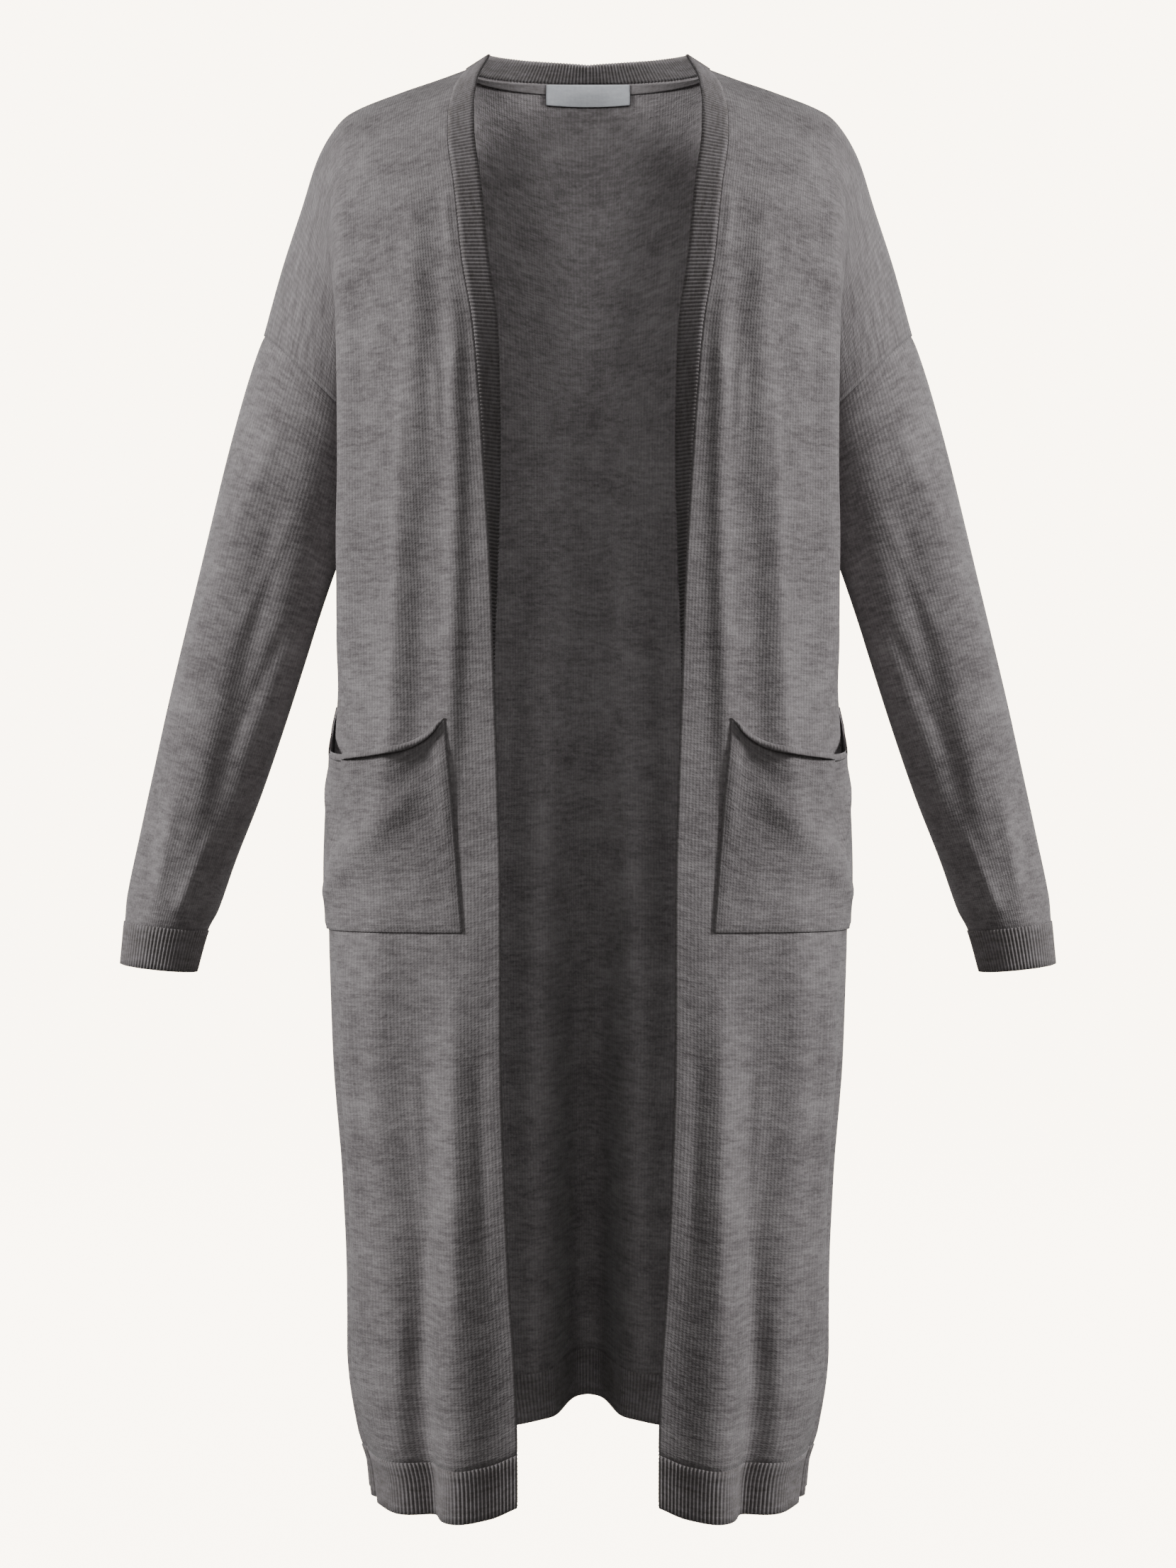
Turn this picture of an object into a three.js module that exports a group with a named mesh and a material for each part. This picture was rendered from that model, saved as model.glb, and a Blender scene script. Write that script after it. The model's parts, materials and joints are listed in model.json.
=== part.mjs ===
// A long open duster cardigan in fine knit, filled out as if worn, with no wearer inside.
// Millimetres, +Z up. The wearer faces -Y and the wearer's left is +X. The origin lies midway
// between the two high points of the shoulders, at their height.
//
// Every cloth piece is a wall: an outer skin of points worked out by a formula, an inner skin
// set one cloth thickness behind it, and rims that close the edges.
import * as THREE from 'three';

// Cloth and seams
const CLOTH = 1.6;
const RIB_RISE = 0.9;
const TAPE = 1.0;
const SEAM_GAP = 0.3;

// Heights of the body, and of the bands
const UNDERARM_Z = -300;
const NECK_POINT_X = 94;
const NECK_POINT_Z = -12.5;
const POCKET_CLEAR = 1.35;
const HEM_RIB_HEIGHT = 39;
const BAND_WIDTH = 20;
const CUFF_RUN = 434;
const CUFF_END_RUN = 467;

// Pitches at which ribs are raised, and the lengths they are counted over
const HEM_RIB_PITCH = 6;
const FRONT_HEM_RUN = 250;
const BACK_HEM_RUN = 560;
const FRONT_BAND_RUN = 1170;
const NECK_BAND_RUN = 220;
const BAND_RIB_PITCH = 13;
const CUFF_RIBS = 40;

// Mesh steps
const LOW_ROWS = 12;
const HIGH_ROWS = 8;
const BLOUSE_ROW = 0.035;
const NECK_ROW = 1.9;
const TAPE_ROW = 1.95;
const FRONT_STEPS = 16;
const BACK_STEPS = 10;
const BACK_NECK_STEPS = 16;
const SLEEVE_ROWS = 13;
const SLEEVE_STEPS = 18;

// A level of the body, from the hem up: half width at the front and back corners, half width at
// the side seam, depth to the front and to the back, how square the corners are, and the x of
// the front opening's edge.
const BODY = [
  { z: -1112, corner: 169.5, side: 169, front: 122, back: 112, square: 2.6, edge: 52 },
  { z: -1085, corner: 172, side: 172, front: 122, back: 112, square: 2.7, edge: 52 },
  { z: -1058, corner: 180, side: 180, front: 124, back: 113, square: 2.8, edge: 52 },
  { z: -1004, corner: 187, side: 187, front: 124, back: 112, square: 3, edge: 53.5 },
  { z: -948, corner: 187, side: 187, front: 123, back: 110, square: 3.4, edge: 57 },
  { z: -868, corner: 190, side: 190, front: 122, back: 108, square: 3.5, edge: 61 },
  { z: -767, corner: 197, side: 197, front: 121, back: 106, square: 3.7, edge: 64 },
  { z: -646, corner: 199, side: 199, front: 120, back: 106, square: 4, edge: 64.5 },
  { z: -569, corner: 196, side: 195, front: 119, back: 106, square: 4.3, edge: 66.5 },
  { z: -500, corner: 194, side: 190, front: 118, back: 107, square: 4.6, edge: 69 },
  { z: -425, corner: 195, side: 183, front: 118, back: 108, square: 5, edge: 71.5 },
  { z: -368, corner: 197, side: 171, front: 117, back: 109, square: 5, edge: 74.5 },
  { z: -330, corner: 197, side: 164.5, front: 116.5, back: 109, square: 5, edge: 77 },
  { z: -300, corner: 197, side: 167, front: 116, back: 109, square: 5, edge: 79 },
];
const CORNER_AT = 0.94;
const PINCH_DEPTH = 70;

// The band's seam above the underarm, from there to the high point of the shoulder
const NECK_EDGE = [
  { z: -300, x: 79, y: 116 },
  { z: -227, x: 85.2, y: 110 },
  { z: -178, x: 93.3, y: 104 },
  { z: -121, x: 99.6, y: 92 },
  { z: -81, x: 105, y: 75 },
  { z: -61, x: 105.4, y: 60 },
  { z: -37, x: 103, y: 35 },
  { z: NECK_POINT_Z, x: NECK_POINT_X, y: 0 },
];

// The shoulder line, by the share of a front panel's width: over the shoulder to 0.5, then down
// over the upper arm to the dropped armhole.
const SHOULDER = [
  { at: 0, x: NECK_POINT_X, z: NECK_POINT_Z },
  { at: 0.125, x: 118, z: -21.5 },
  { at: 0.25, x: 143, z: -30.5 },
  { at: 0.45, x: 183, z: -48 },
  { at: 0.5, x: 192, z: -56 },
  { at: 0.62, x: 208, z: -82 },
  { at: 0.77, x: 222, z: -124 },
  { at: 0.88, x: 236.5, z: -168 },
  { at: 1, x: 251, z: -220 },
];
const BACK_NECK_AT = 0.3;
const BACK_NECK_Y = 62;
const BACK_NECK_Z = -9;
const CHEST_LIFT = 450;
const SHOULDER_ROLL = 225;

// The sleeve by the run of its centre line: centre, half width, half depth and tilt of the ring.
// The first ring is the armhole, and the last two are the cuff.
const SLEEVE = [
  { run: 0, x: 209, z: -260, width: 58, depth: 62, tilt: 43.6 },
  { run: 42, x: 220, z: -300, width: 55.5, depth: 57, tilt: 30 },
  { run: 94, x: 234, z: -350, width: 53, depth: 53, tilt: 20 },
  { run: 158, x: 252, z: -412, width: 49.6, depth: 50, tilt: 16 },
  { run: 259, x: 279, z: -509, width: 45.8, depth: 46, tilt: 15.6 },
  { run: 316, x: 294.5, z: -564, width: 42.7, depth: 43, tilt: 15.6 },
  { run: 373, x: 311, z: -619, width: 38.2, depth: 39, tilt: 14.5 },
  { run: 415, x: 322, z: -659, width: 35.6, depth: 36.5, tilt: 10 },
  { run: 434, x: 327, z: -677, width: 32.2, depth: 33, tilt: 7 },
  { run: 467, x: 333, z: -709, width: 29.2, depth: 30, tilt: 6.5 },
];

// The way the front band leaves its seam: towards the middle, backwards and up
const BAND_TURN = [
  { z: -1106, middle: -0.2, back: 0.98, up: 0 },
  { z: -600, middle: -0.2, back: 0.98, up: 0 },
  { z: -476, middle: 0, back: 1, up: 0 },
  { z: -385, middle: 0.32, back: 0.94, up: 0 },
  { z: -339, middle: 0.52, back: 0.85, up: 0 },
  { z: -274, middle: 0.74, back: 0.67, up: 0 },
  { z: -178, middle: 0.95, back: 0.3, up: 0.05 },
  { z: -98, middle: 0.96, back: 0.2, up: 0.2 },
  { z: NECK_POINT_Z, middle: 0.84, back: 0, up: 0.54 },
];

const BACK_BAND_TURN = new THREE.Vector3(0, -0.86, 0.51);

// Folds: where across the panel at the top and at the foot, the heights between which they run,
// how far they stand out (or in, below zero), their half width across, and the runs over which
// they start and end. A fold whose foot lies below the hem runs off it at full depth. A flat fold
// has a flatter crest and steeper flanks.
const FRONT_FOLDS = [
  { top: 0.16, foot: 0.37, high: -90, low: -640, out: 6, wide: 0.05, start: 110, end: 120 },
  { top: 0.05, foot: 0.17, high: -160, low: -620, out: 4.5, wide: 0.035, start: 100, end: 100 },
  { top: 0.2, foot: 0.27, high: -180, low: -600, out: -4.5, wide: 0.045, start: 120, end: 120 },
  { top: 0.11, foot: 0.2, high: -600, low: -1150, out: 15, wide: 0.1, start: 420, end: 10 },
  { top: 0.2, foot: 0.31, high: -640, low: -1150, out: -13, wide: 0.05, start: 420, end: 10 },
  { top: 0.37, foot: 0.4, high: -620, low: -1150, out: 6, wide: 0.06, start: 110, end: 10 },
  { top: 0.46, foot: 0.49, high: -640, low: -1090, out: 5, wide: 0.045, start: 90, end: 90 },
  { top: 0.56, foot: 0.6, high: -660, low: -1150, out: -7, wide: 0.07, start: 200, end: 10 },
  { top: 0.5, foot: 0.5, high: -70, low: -560, out: 4, wide: 0.05, start: 80, end: 80 },
  { top: 0.57, foot: 0.57, high: -440, low: -660, out: -9, wide: 0.08, start: 80, end: 90 },
  { top: 0.8, foot: 0.82, high: -560, low: -1150, out: -5, wide: 0.1, start: 240, end: 10 },
];
const BACK_FOLDS = [
  { top: 0, foot: 0, high: -330, low: -1150, out: 78, wide: 0.066, start: 1000, end: 10, flat: 4 },
  { top: 0, foot: 0, high: -60, low: -800, out: -4, wide: 0.13, start: 250, end: 300 },
  { top: 0.12, foot: 0.2, high: -420, low: -1150, out: -14, wide: 0.09, start: 600, end: 10 },
  { top: 0.34, foot: 0.4, high: -240, low: -1150, out: 9, wide: 0.07, start: 400, end: 10 },
  { top: 0.47, foot: 0.53, high: -420, low: -1150, out: -9, wide: 0.06, start: 400, end: 10 },
  { top: 0.62, foot: 0.68, high: -340, low: -1150, out: 6, wide: 0.07, start: 300, end: 10 },
  { top: 0.8, foot: 0.84, high: -560, low: -1150, out: -5, wide: 0.08, start: 240, end: 10 },
];
// Sleeve folds: angle round the sleeve from the underarm, in degrees, and runs down the sleeve
const SLEEVE_FOLDS = [
  { top: 118, foot: 140, high: 20, low: 330, out: 3.5, wide: 20, start: 90, end: 90 },
  { top: 90, foot: 62, high: 70, low: 390, out: -5, wide: 16, start: 90, end: 90 },
  { top: 150, foot: 120, high: 300, low: 432, out: -3, wide: 15, start: 50, end: 40 },
  { top: 250, foot: 285, high: 60, low: 380, out: -5, wide: 18, start: 110, end: 110 },
  { top: 215, foot: 225, high: 120, low: 430, out: 3.5, wide: 20, start: 80, end: 60 },
  { top: 25, foot: 40, high: 90, low: 300, out: 3, wide: 18, start: 70, end: 70 },
];

// The hem's height by the share of a panel's half width
const HEM_Z = -1110;
const FRONT_HEM = [
  { at: 0, z: -1098 },
  { at: 0.09, z: -1106 },
  { at: 0.2, z: -1109 },
  { at: 1, z: -1110 },
];
const BACK_HEM = [
  { at: 0, z: -1078 },
  { at: 0.14, z: -1084 },
  { at: 0.3, z: -1089 },
  { at: 0.6, z: -1095 },
  { at: 1, z: -1110 },
];

// Pocket: share of the front panel at its two sides, its heights, and the droop of its mouth
const POCKET_FLOOR_Z = -676;
const POCKET_MOUTH = [
  { at: 0, z: -519, bag: 0 },
  { at: 0.1, z: -533, bag: 4 },
  { at: 0.22, z: -541, bag: 9 },
  { at: 0.45, z: -546, bag: 15 },
  { at: 0.66, z: -548, bag: 21 },
  { at: 0.84, z: -545, bag: 17 },
  { at: 0.94, z: -532, bag: 8 },
  { at: 1, z: -509, bag: 0 },
];
const POCKET_IN_FOOT = 0.115;
const POCKET_IN_TOP = 0.16;
const POCKET_OUT = 0.8;
const POCKET_STEPS = 14;
const POCKET_ROWS = 7;
const POCKET_FORWARD = 0.85;
const FRONTWARDS = new THREE.Vector3(0, -1, 0);
const ROLL_RADIUS = 3.2;
const ROLL_STEPS = 4;
const ROLL_TURN = 215;

// Neck tape and label, hung from the neck seam inside the back: half widths in back neck steps
// and in shares of the back, drops in rows between underarm and shoulder
const NECK_SEAM_ROW = 1.998;
const NECK_TAPE_HALF = 7;
const NECK_TAPE_DROP = 0.048;
const LABEL_SHARE = 0.07;
const LABEL_DROP = 0.093;

const KNIT_GREY = 0x7b777a;
const RIB_GREY = 0x757174;
const LABEL_GREY = 0xb4b9bf;

const smooth = (t) => {
  const c = Math.min(1, Math.max(0, t));
  return c * c * (3 - 2 * c);
};
const mix = (a, b, t) => a + (b - a) * t;

// A column of a table at any place along it, by a cubic that never overshoots its rows
function reading(table, key, column, at) {
  const last = table.length - 1;
  const place = Math.min(Math.max(at, table[0][key]), table[last][key]);
  let row = 0;
  while (row < last - 1 && place > table[row + 1][key]) row += 1;
  const slope = (i) => {
    const j = Math.min(Math.max(i, 0), last - 1);
    return (table[j + 1][column] - table[j][column]) / (table[j + 1][key] - table[j][key]);
  };
  const bend = (i) => {
    const before = slope(i - 1);
    const after = slope(i);
    return before * after <= 0 ? 0 : (2 * before * after) / (before + after);
  };
  const step = table[row + 1][key] - table[row][key];
  const t = (place - table[row][key]) / step;
  const rise = t * t * (3 - 2 * t);
  const leave = t * (1 - t) * (1 - t) * step;
  const arrive = t * t * (t - 1) * step;
  return mix(table[row][column], table[row + 1][column], rise)
    + leave * bend(row) + arrive * bend(row + 1);
}

// How far folds push the cloth out, at a share across and a place along
function foldHeight(folds, across, along) {
  let height = 0;
  for (const fold of folds) {
    const run = Math.abs(fold.low - fold.high);
    const gone = ((along - fold.high) / (fold.low - fold.high)) * run;
    const centre = mix(fold.top, fold.foot, Math.min(1, Math.max(0, gone / run)));
    const bell = Math.exp(-(Math.abs((across - centre) / fold.wide) ** (fold.flat ?? 2)));
    height += fold.out * bell * smooth(gone / fold.start) * smooth((run - gone) / fold.end);
  }
  return height;
}

// Half of a horizontal section: a rounded square, pinched at the side seam under the arm.
// The inner half of the share runs across to the corner and the outer half back to the seam.
function sectionPoint(face, share, z) {
  const corner = reading(BODY, 'z', 'corner', z);
  const depth = reading(BODY, 'z', face < 0 ? 'front' : 'back', z);
  const square = reading(BODY, 'z', 'square', z);
  const start = face < 0 ? reading(BODY, 'z', 'edge', z) : 0;
  const other = (value, from, to) => to * (1 - Math.min(1, value / from) ** square) ** (1 / square);
  const turnX = CORNER_AT * corner;
  const turnY = other(turnX, corner, depth);
  const inner = share <= 0.5;
  const x = inner ? mix(start, turnX, 2 * share) : other(turnY * (2 - 2 * share), depth, corner);
  const y = inner ? other(x, corner, depth) : turnY * (2 - 2 * share);
  const outX = (x / corner) ** (square - 1) / corner;
  const outY = (y / depth) ** (square - 1) / depth;
  const size = Math.hypot(outX, outY);
  const pinch = (corner - reading(BODY, 'z', 'side', z)) * Math.exp(-((y / PINCH_DEPTH) ** 4));
  return {
    point: new THREE.Vector3(x - pinch, face * y, z),
    out: new THREE.Vector3(outX / size, (face * outY) / size, 0),
  };
}

// The armhole ring and the sleeve's rings: angle 0 at the underarm, 180 over the arm
function ringPoint(run, angle, face = -1) {
  const row = (column) => reading(SLEEVE, 'run', column, run);
  const tilt = THREE.MathUtils.degToRad(row('tilt'));
  const turn = THREE.MathUtils.degToRad(angle);
  const folds = foldHeight(SLEEVE_FOLDS, angle, run);
  const reach = -(row('width') + folds) * Math.cos(turn);
  return new THREE.Vector3(
    row('x') + Math.cos(tilt) * reach,
    face * (row('depth') + folds) * Math.sin(turn),
    row('z') + Math.sin(tilt) * reach,
  );
}

// Where a column of the body ends at the top: on the shoulder line or on the back neck
function topPoint(face, share) {
  if (face < 0 || share >= BACK_NECK_AT) {
    const at = face < 0 ? share : (share - BACK_NECK_AT) / (1 - BACK_NECK_AT);
    return new THREE.Vector3(
      reading(SHOULDER, 'at', 'x', at),
      0,
      reading(SHOULDER, 'at', 'z', at),
    );
  }
  const turn = (1 - share / BACK_NECK_AT) * (Math.PI / 2);
  return new THREE.Vector3(
    SHOULDER[0].x * Math.cos(turn),
    BACK_NECK_Y * Math.sin(turn),
    mix(SHOULDER[0].z, BACK_NECK_Z, Math.sin(turn)),
  );
}

// A cubic from the level of the underarm, leaving it upwards, over the chest or shoulder blade
function legPoint(face, share, rise) {
  const foot = sectionPoint(face, share, UNDERARM_Z).point;
  const top = topPoint(face, share);
  const neck = face > 0 ? smooth(1 - share / BACK_NECK_AT) : 0;
  const height = (top.z - UNDERARM_Z) / (SHOULDER[0].z - UNDERARM_Z);
  const lift = CHEST_LIFT * height * mix(1, 0.75, neck);
  const roll = SHOULDER_ROLL * mix(0.55, 1, height) * mix(1, 0.25, neck);
  const leave = new THREE.Vector3(0, 0, lift / 3);
  const arrive = new THREE.Vector3(0, (-face * roll) / 3, (neck * CHEST_LIFT) / 9);
  const curve = new THREE.CubicBezierCurve3(
    foot,
    foot.clone().add(leave),
    top.clone().sub(arrive),
    top,
  );
  return curve.getPoint(rise);
}

function hemZ(face, share) {
  return reading(face < 0 ? FRONT_HEM : BACK_HEM, 'at', 'z', share);
}

// A point of the body's cloth. Height 0 is the hem, 1 the underarm's level, 2 the shoulder line.
// A share below zero crosses to the other half of the back.
function bodyPoint(face, side, signedShare, height) {
  const share = Math.min(1, Math.abs(signedShare));
  const folds = face < 0 ? FRONT_FOLDS : BACK_FOLDS;
  const place = new THREE.Vector3();
  const low = height <= 1;
  const z = low ? mix(hemZ(face, share), UNDERARM_Z, height) : UNDERARM_Z;
  const section = sectionPoint(face, share, z);
  if (low) {
    place.copy(section.point);
  } else {
    const rise = height - 1;
    place.copy(legPoint(face, share, rise));
    const outer = Math.max(0, 2 * share - 1);
    const armhole = ringPoint(0, 180 * rise, face);
    place.addScaledVector(armhole.sub(legPoint(face, 1, rise)), outer);
    if (face < 0 && share < 0.5) {
      const plain = legPoint(face, 0, rise);
      const edge = new THREE.Vector3(
        reading(NECK_EDGE, 'z', 'x', plain.z),
        -reading(NECK_EDGE, 'z', 'y', plain.z),
        plain.z,
      );
      place.addScaledVector(edge.sub(plain), 1 - 2 * share);
    }
  }
  const calm = low ? 1 : smooth((2 - height) * 1.6) * smooth((1 - share) * 5);
  place.addScaledVector(section.out, foldHeight(folds, share, place.z) * calm);
  place.x *= signedShare < 0 ? -side : side;
  place.y += face * (SEAM_GAP / 2);
  return place;
}

// The direction straight out of a surface, from its two slopes; sense is 1 or -1
function outward(surface, u, v, sense) {
  const near = 1e-3;
  const alongU = surface(u + near, v).sub(surface(u - near, v));
  const alongV = surface(u, v + near).sub(surface(u, v - near));
  return alongU.cross(alongV).normalize().multiplyScalar(sense);
}

function triangleMesh(name, positions, triangles, colour) {
  let volume = 0;
  const corner = (i) => new THREE.Vector3().fromArray(positions, 3 * i);
  for (let i = 0; i < triangles.length; i += 3) {
    const cross = corner(triangles[i + 1]).cross(corner(triangles[i + 2]));
    volume += corner(triangles[i]).dot(cross);
  }
  if (volume < 0) triangles.reverse();
  const geometry = new THREE.BufferGeometry();
  geometry.setAttribute('position', new THREE.Float32BufferAttribute(positions, 3));
  geometry.setIndex(triangles);
  geometry.computeVertexNormals();
  const material = new THREE.MeshStandardMaterial({ color: colour, roughness: 0.9, metalness: 0 });
  const mesh = new THREE.Mesh(geometry, material);
  mesh.name = name;
  return mesh;
}

// Triangles between two lines of points, stepping each in turn so that they arrive together
function joinLines(triangles, first, second, flipped = false) {
  let i = 0;
  let j = 0;
  while (i < first.length - 1 || j < second.length - 1) {
    const nextFirst = (i + 1) / (first.length - 1);
    const nextSecond = (j + 1) / (second.length - 1);
    const onFirst = i < first.length - 1 && nextFirst <= nextSecond + 1e-9;
    const third = onFirst ? first[i + 1] : second[j + 1];
    triangles.push(...(flipped ? [second[j], first[i], third] : [first[i], second[j], third]));
    if (onFirst) i += 1;
    else j += 1;
  }
}

// A closed wall over a grid. outer(u, v) and inner(u, v) are its two skins, us and vs the steps
// across and along, and innerUs the sparser steps across the inside. A tube closes across.
function wallMesh(name, { outer, inner, us, vs, innerUs = us, tube = false, colour }) {
  const positions = [];
  const triangles = [];
  const skin = (surface, steps) => vs.map((v) => {
    const line = steps.map((u) => {
      positions.push(...surface(u, v).toArray());
      return positions.length / 3 - 1;
    });
    return tube ? [...line, line[0]] : line;
  });
  const outside = skin(outer, tube ? us.slice(0, -1) : us);
  const inside = skin(inner, tube ? innerUs.slice(0, -1) : innerUs);
  for (let row = 0; row < vs.length - 1; row += 1) {
    joinLines(triangles, outside[row], outside[row + 1]);
    joinLines(triangles, inside[row], inside[row + 1], true);
  }
  joinLines(triangles, inside[0], outside[0]);
  joinLines(triangles, outside.at(-1), inside.at(-1));
  if (!tube) {
    const column = (lines, end) => lines.map((line) => line.at(end));
    joinLines(triangles, column(outside, 0), column(inside, 0));
    joinLines(triangles, column(inside, -1), column(outside, -1));
  }
  return triangleMesh(name, positions, triangles, colour);
}

const steps = (from, to, count) => Array.from({ length: count + 1 }, (_, i) => (
  mix(from, to, i / count)
));

// Seam edges are cut square to the seam's plane, so that neighbours stay apart
function panelOutward(face, side, signedShare, height) {
  const share = Math.abs(signedShare);
  const inside = face < 0 ? Math.max(signedShare, 0.002) : signedShare;
  const surface = (u, v) => bodyPoint(face, side, u, v);
  const direction = outward(surface, inside, height, -face * side);
  const onShoulder = height > 1.999 && (face < 0 || share >= BACK_NECK_AT);
  const onSideSeam = share > 0.999 && height <= 1;
  const onHemSeam = height * (UNDERARM_Z - HEM_Z) < HEM_RIB_HEIGHT + 1;
  if (onShoulder || onSideSeam) direction.setY(0);
  if (onHemSeam) direction.setZ(0);
  return direction.normalize();
}

// Skins of a panel: outer points, and points set back by a depth
function panelSkin(face, side, depth) {
  return (share, height) => (
    bodyPoint(face, side, share, height)
      .addScaledVector(panelOutward(face, side, share, height), -depth)
  );
}

// A surface as its facets have it: points between two steps lie on the straight line
function onFacets(surface, us, vs) {
  const cell = (list, at) => {
    let i = 0;
    while (i < list.length - 2 && at > list[i + 1]) i += 1;
    return [list[i], list[i + 1], (at - list[i]) / (list[i + 1] - list[i])];
  };
  return (u, v) => {
    const [u0, u1, across] = cell(us, u);
    const [v0, v1, along] = cell(vs, v);
    const low = surface(u0, v0).lerp(surface(u1, v0), across);
    return low.lerp(surface(u0, v1).lerp(surface(u1, v1), across), along);
  };
}

const ribTop = (face, share) => HEM_RIB_HEIGHT / (UNDERARM_Z - hemZ(face, Math.abs(share)));

// Steps of the panels: rows from the hem rib up over the shoulder, and columns across
const PANEL_ROWS = [
  0,
  BLOUSE_ROW,
  ...steps(0, 1, LOW_ROWS).slice(1),
  ...steps(1, NECK_ROW, HIGH_ROWS).slice(1),
  TAPE_ROW,
  2,
];
const FRONT_COLUMNS = steps(0, 1, FRONT_STEPS);
const BACK_COLUMNS = [
  ...steps(-1, -BACK_NECK_AT, BACK_STEPS),
  ...steps(-BACK_NECK_AT, BACK_NECK_AT, BACK_NECK_STEPS).slice(1),
  ...steps(BACK_NECK_AT, 1, BACK_STEPS).slice(1),
];

// A panel's skin by its rows: row 0 lies just above the hem rib
function panelRows(face, side, depth) {
  return (share, row) => {
    const floor = ribTop(face, share) + SEAM_GAP / 2 / (UNDERARM_Z - HEM_Z);
    return panelSkin(face, side, depth)(share, row < 1 ? mix(floor, 1, row) : row);
  };
}

function panelMesh(name, face, side, columns) {
  return wallMesh(name, {
    outer: panelRows(face, side, 0),
    inner: panelRows(face, side, CLOTH),
    us: columns,
    vs: PANEL_ROWS,
    colour: KNIT_GREY,
  });
}

// A wave that stands a rib out on every other step of a line
const ribWave = (step) => (step % 2 === 1 ? RIB_RISE : 0);

function hemRibMesh(name, face, side, from, to, width) {
  const ribs = Math.round(width / HEM_RIB_PITCH);
  const shares = steps(from, to, 2 * ribs);
  const ceiling = (share) => ribTop(face, share) - SEAM_GAP / 2 / (UNDERARM_Z - HEM_Z);
  const step = (share) => Math.round(((share - from) / (to - from)) * 2 * ribs);
  const skin = (depth) => (share, row) => (
    panelSkin(face, side, depth(share))(share, row * ceiling(share))
  );
  return wallMesh(name, {
    outer: skin((share) => -ribWave(step(share))),
    inner: skin(() => CLOTH),
    us: shares,
    innerUs: steps(from, to, ribs),
    vs: [0, 1],
    colour: RIB_GREY,
  });
}

function sleeveOutward(angle, run) {
  return outward((u, v) => ringPoint(v, u), angle, run, -1);
}

// Skins of a sleeve: the rings, set back by a depth; the first ring stands clear of the armhole
function sleeveSkin(side, depth) {
  const tilt = THREE.MathUtils.degToRad(SLEEVE[0].tilt);
  const clear = new THREE.Vector3(Math.sin(tilt), 0, -Math.cos(tilt)).multiplyScalar(SEAM_GAP);
  return (angle, run) => {
    const point = ringPoint(run, angle);
    const back = depth(angle, run);
    if (back !== 0) point.addScaledVector(sleeveOutward(angle, Math.max(run, 0.01)), -back);
    point.add(clear);
    point.x *= side;
    return point;
  };
}

function sleeveMesh(name, side) {
  return wallMesh(name, {
    outer: sleeveSkin(side, () => 0),
    inner: sleeveSkin(side, () => CLOTH),
    us: steps(0, 360, SLEEVE_STEPS),
    vs: steps(0, CUFF_RUN - SEAM_GAP, SLEEVE_ROWS),
    tube: true,
    colour: KNIT_GREY,
  });
}

function cuffMesh(name, side) {
  const degrees = 360 / (2 * CUFF_RIBS);
  return wallMesh(name, {
    outer: sleeveSkin(side, (angle) => -ribWave(Math.round(angle / degrees))),
    inner: sleeveSkin(side, () => CLOTH),
    us: steps(0, 360, 2 * CUFF_RIBS),
    innerUs: steps(0, 360, CUFF_RIBS / 2),
    vs: [CUFF_RUN, CUFF_END_RUN],
    tube: true,
    colour: RIB_GREY,
  });
}

// The front panel's edge, row by row: from the hem at -1, by the rib's top at 0, to the shoulder
const EDGE_ROWS = [-1, ...PANEL_ROWS];
const edgePoint = onFacets((share, row) => (
  row < 0 ? bodyPoint(-1, 1, share, 0) : panelRows(-1, 1, 0)(share, row)
), FRONT_COLUMNS, EDGE_ROWS);

// How far a band starts from its seam, to clear the wall that it leaves
function bandStart(turn, out, beside) {
  return SEAM_GAP + CLOTH * (Math.max(0, -turn.dot(out)) + Math.max(0, beside));
}

// The front band's line: the panel's edge, and the way the band leaves it
function bandFrame(row) {
  const seam = edgePoint(0, row);
  const turn = new THREE.Vector3(
    -reading(BAND_TURN, 'z', 'middle', seam.z),
    reading(BAND_TURN, 'z', 'back', seam.z),
    reading(BAND_TURN, 'z', 'up', seam.z),
  ).normalize();
  const out = panelOutward(-1, 1, 0, Math.max(0, row));
  return { seam, turn, start: bandStart(turn, out, turn.x) };
}

// The neck band's line, from the right shoulder at -1 over the middle of the back to the left
const neckPoint = onFacets(panelRows(1, 1, 0), BACK_COLUMNS, PANEL_ROWS);
function neckBandFrame(along) {
  const seam = neckPoint(BACK_NECK_AT * along, 2);
  const part = (Math.abs(along) * Math.PI) / 2;
  const turn = BACK_BAND_TURN.clone().multiplyScalar(Math.cos(part))
    .addScaledVector(bandFrame(2).turn, Math.sin(part)).normalize();
  turn.x *= Math.sign(along);
  const out = panelOutward(1, 1, BACK_NECK_AT * along, 2);
  return { seam, turn, start: bandStart(turn, out, 0) };
}

// Skins of a band: across it from its seam to its free edge, set back by a depth. Its ends at
// the shoulder are cut square to the shoulder's plane.
function bandSkin({ frame, side, sense, shoulder }, depth) {
  const bandPoint = (across, along) => {
    const { seam, turn, start } = frame(along);
    return seam.addScaledVector(turn, start + across * BAND_WIDTH);
  };
  return (along, across) => {
    const direction = outward(bandPoint, across, along, sense);
    if (Math.abs(along) > shoulder - 0.001) direction.setY(0).normalize();
    const point = bandPoint(across, along).addScaledVector(direction, -depth(along));
    point.x *= side;
    return point;
  };
}

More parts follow.
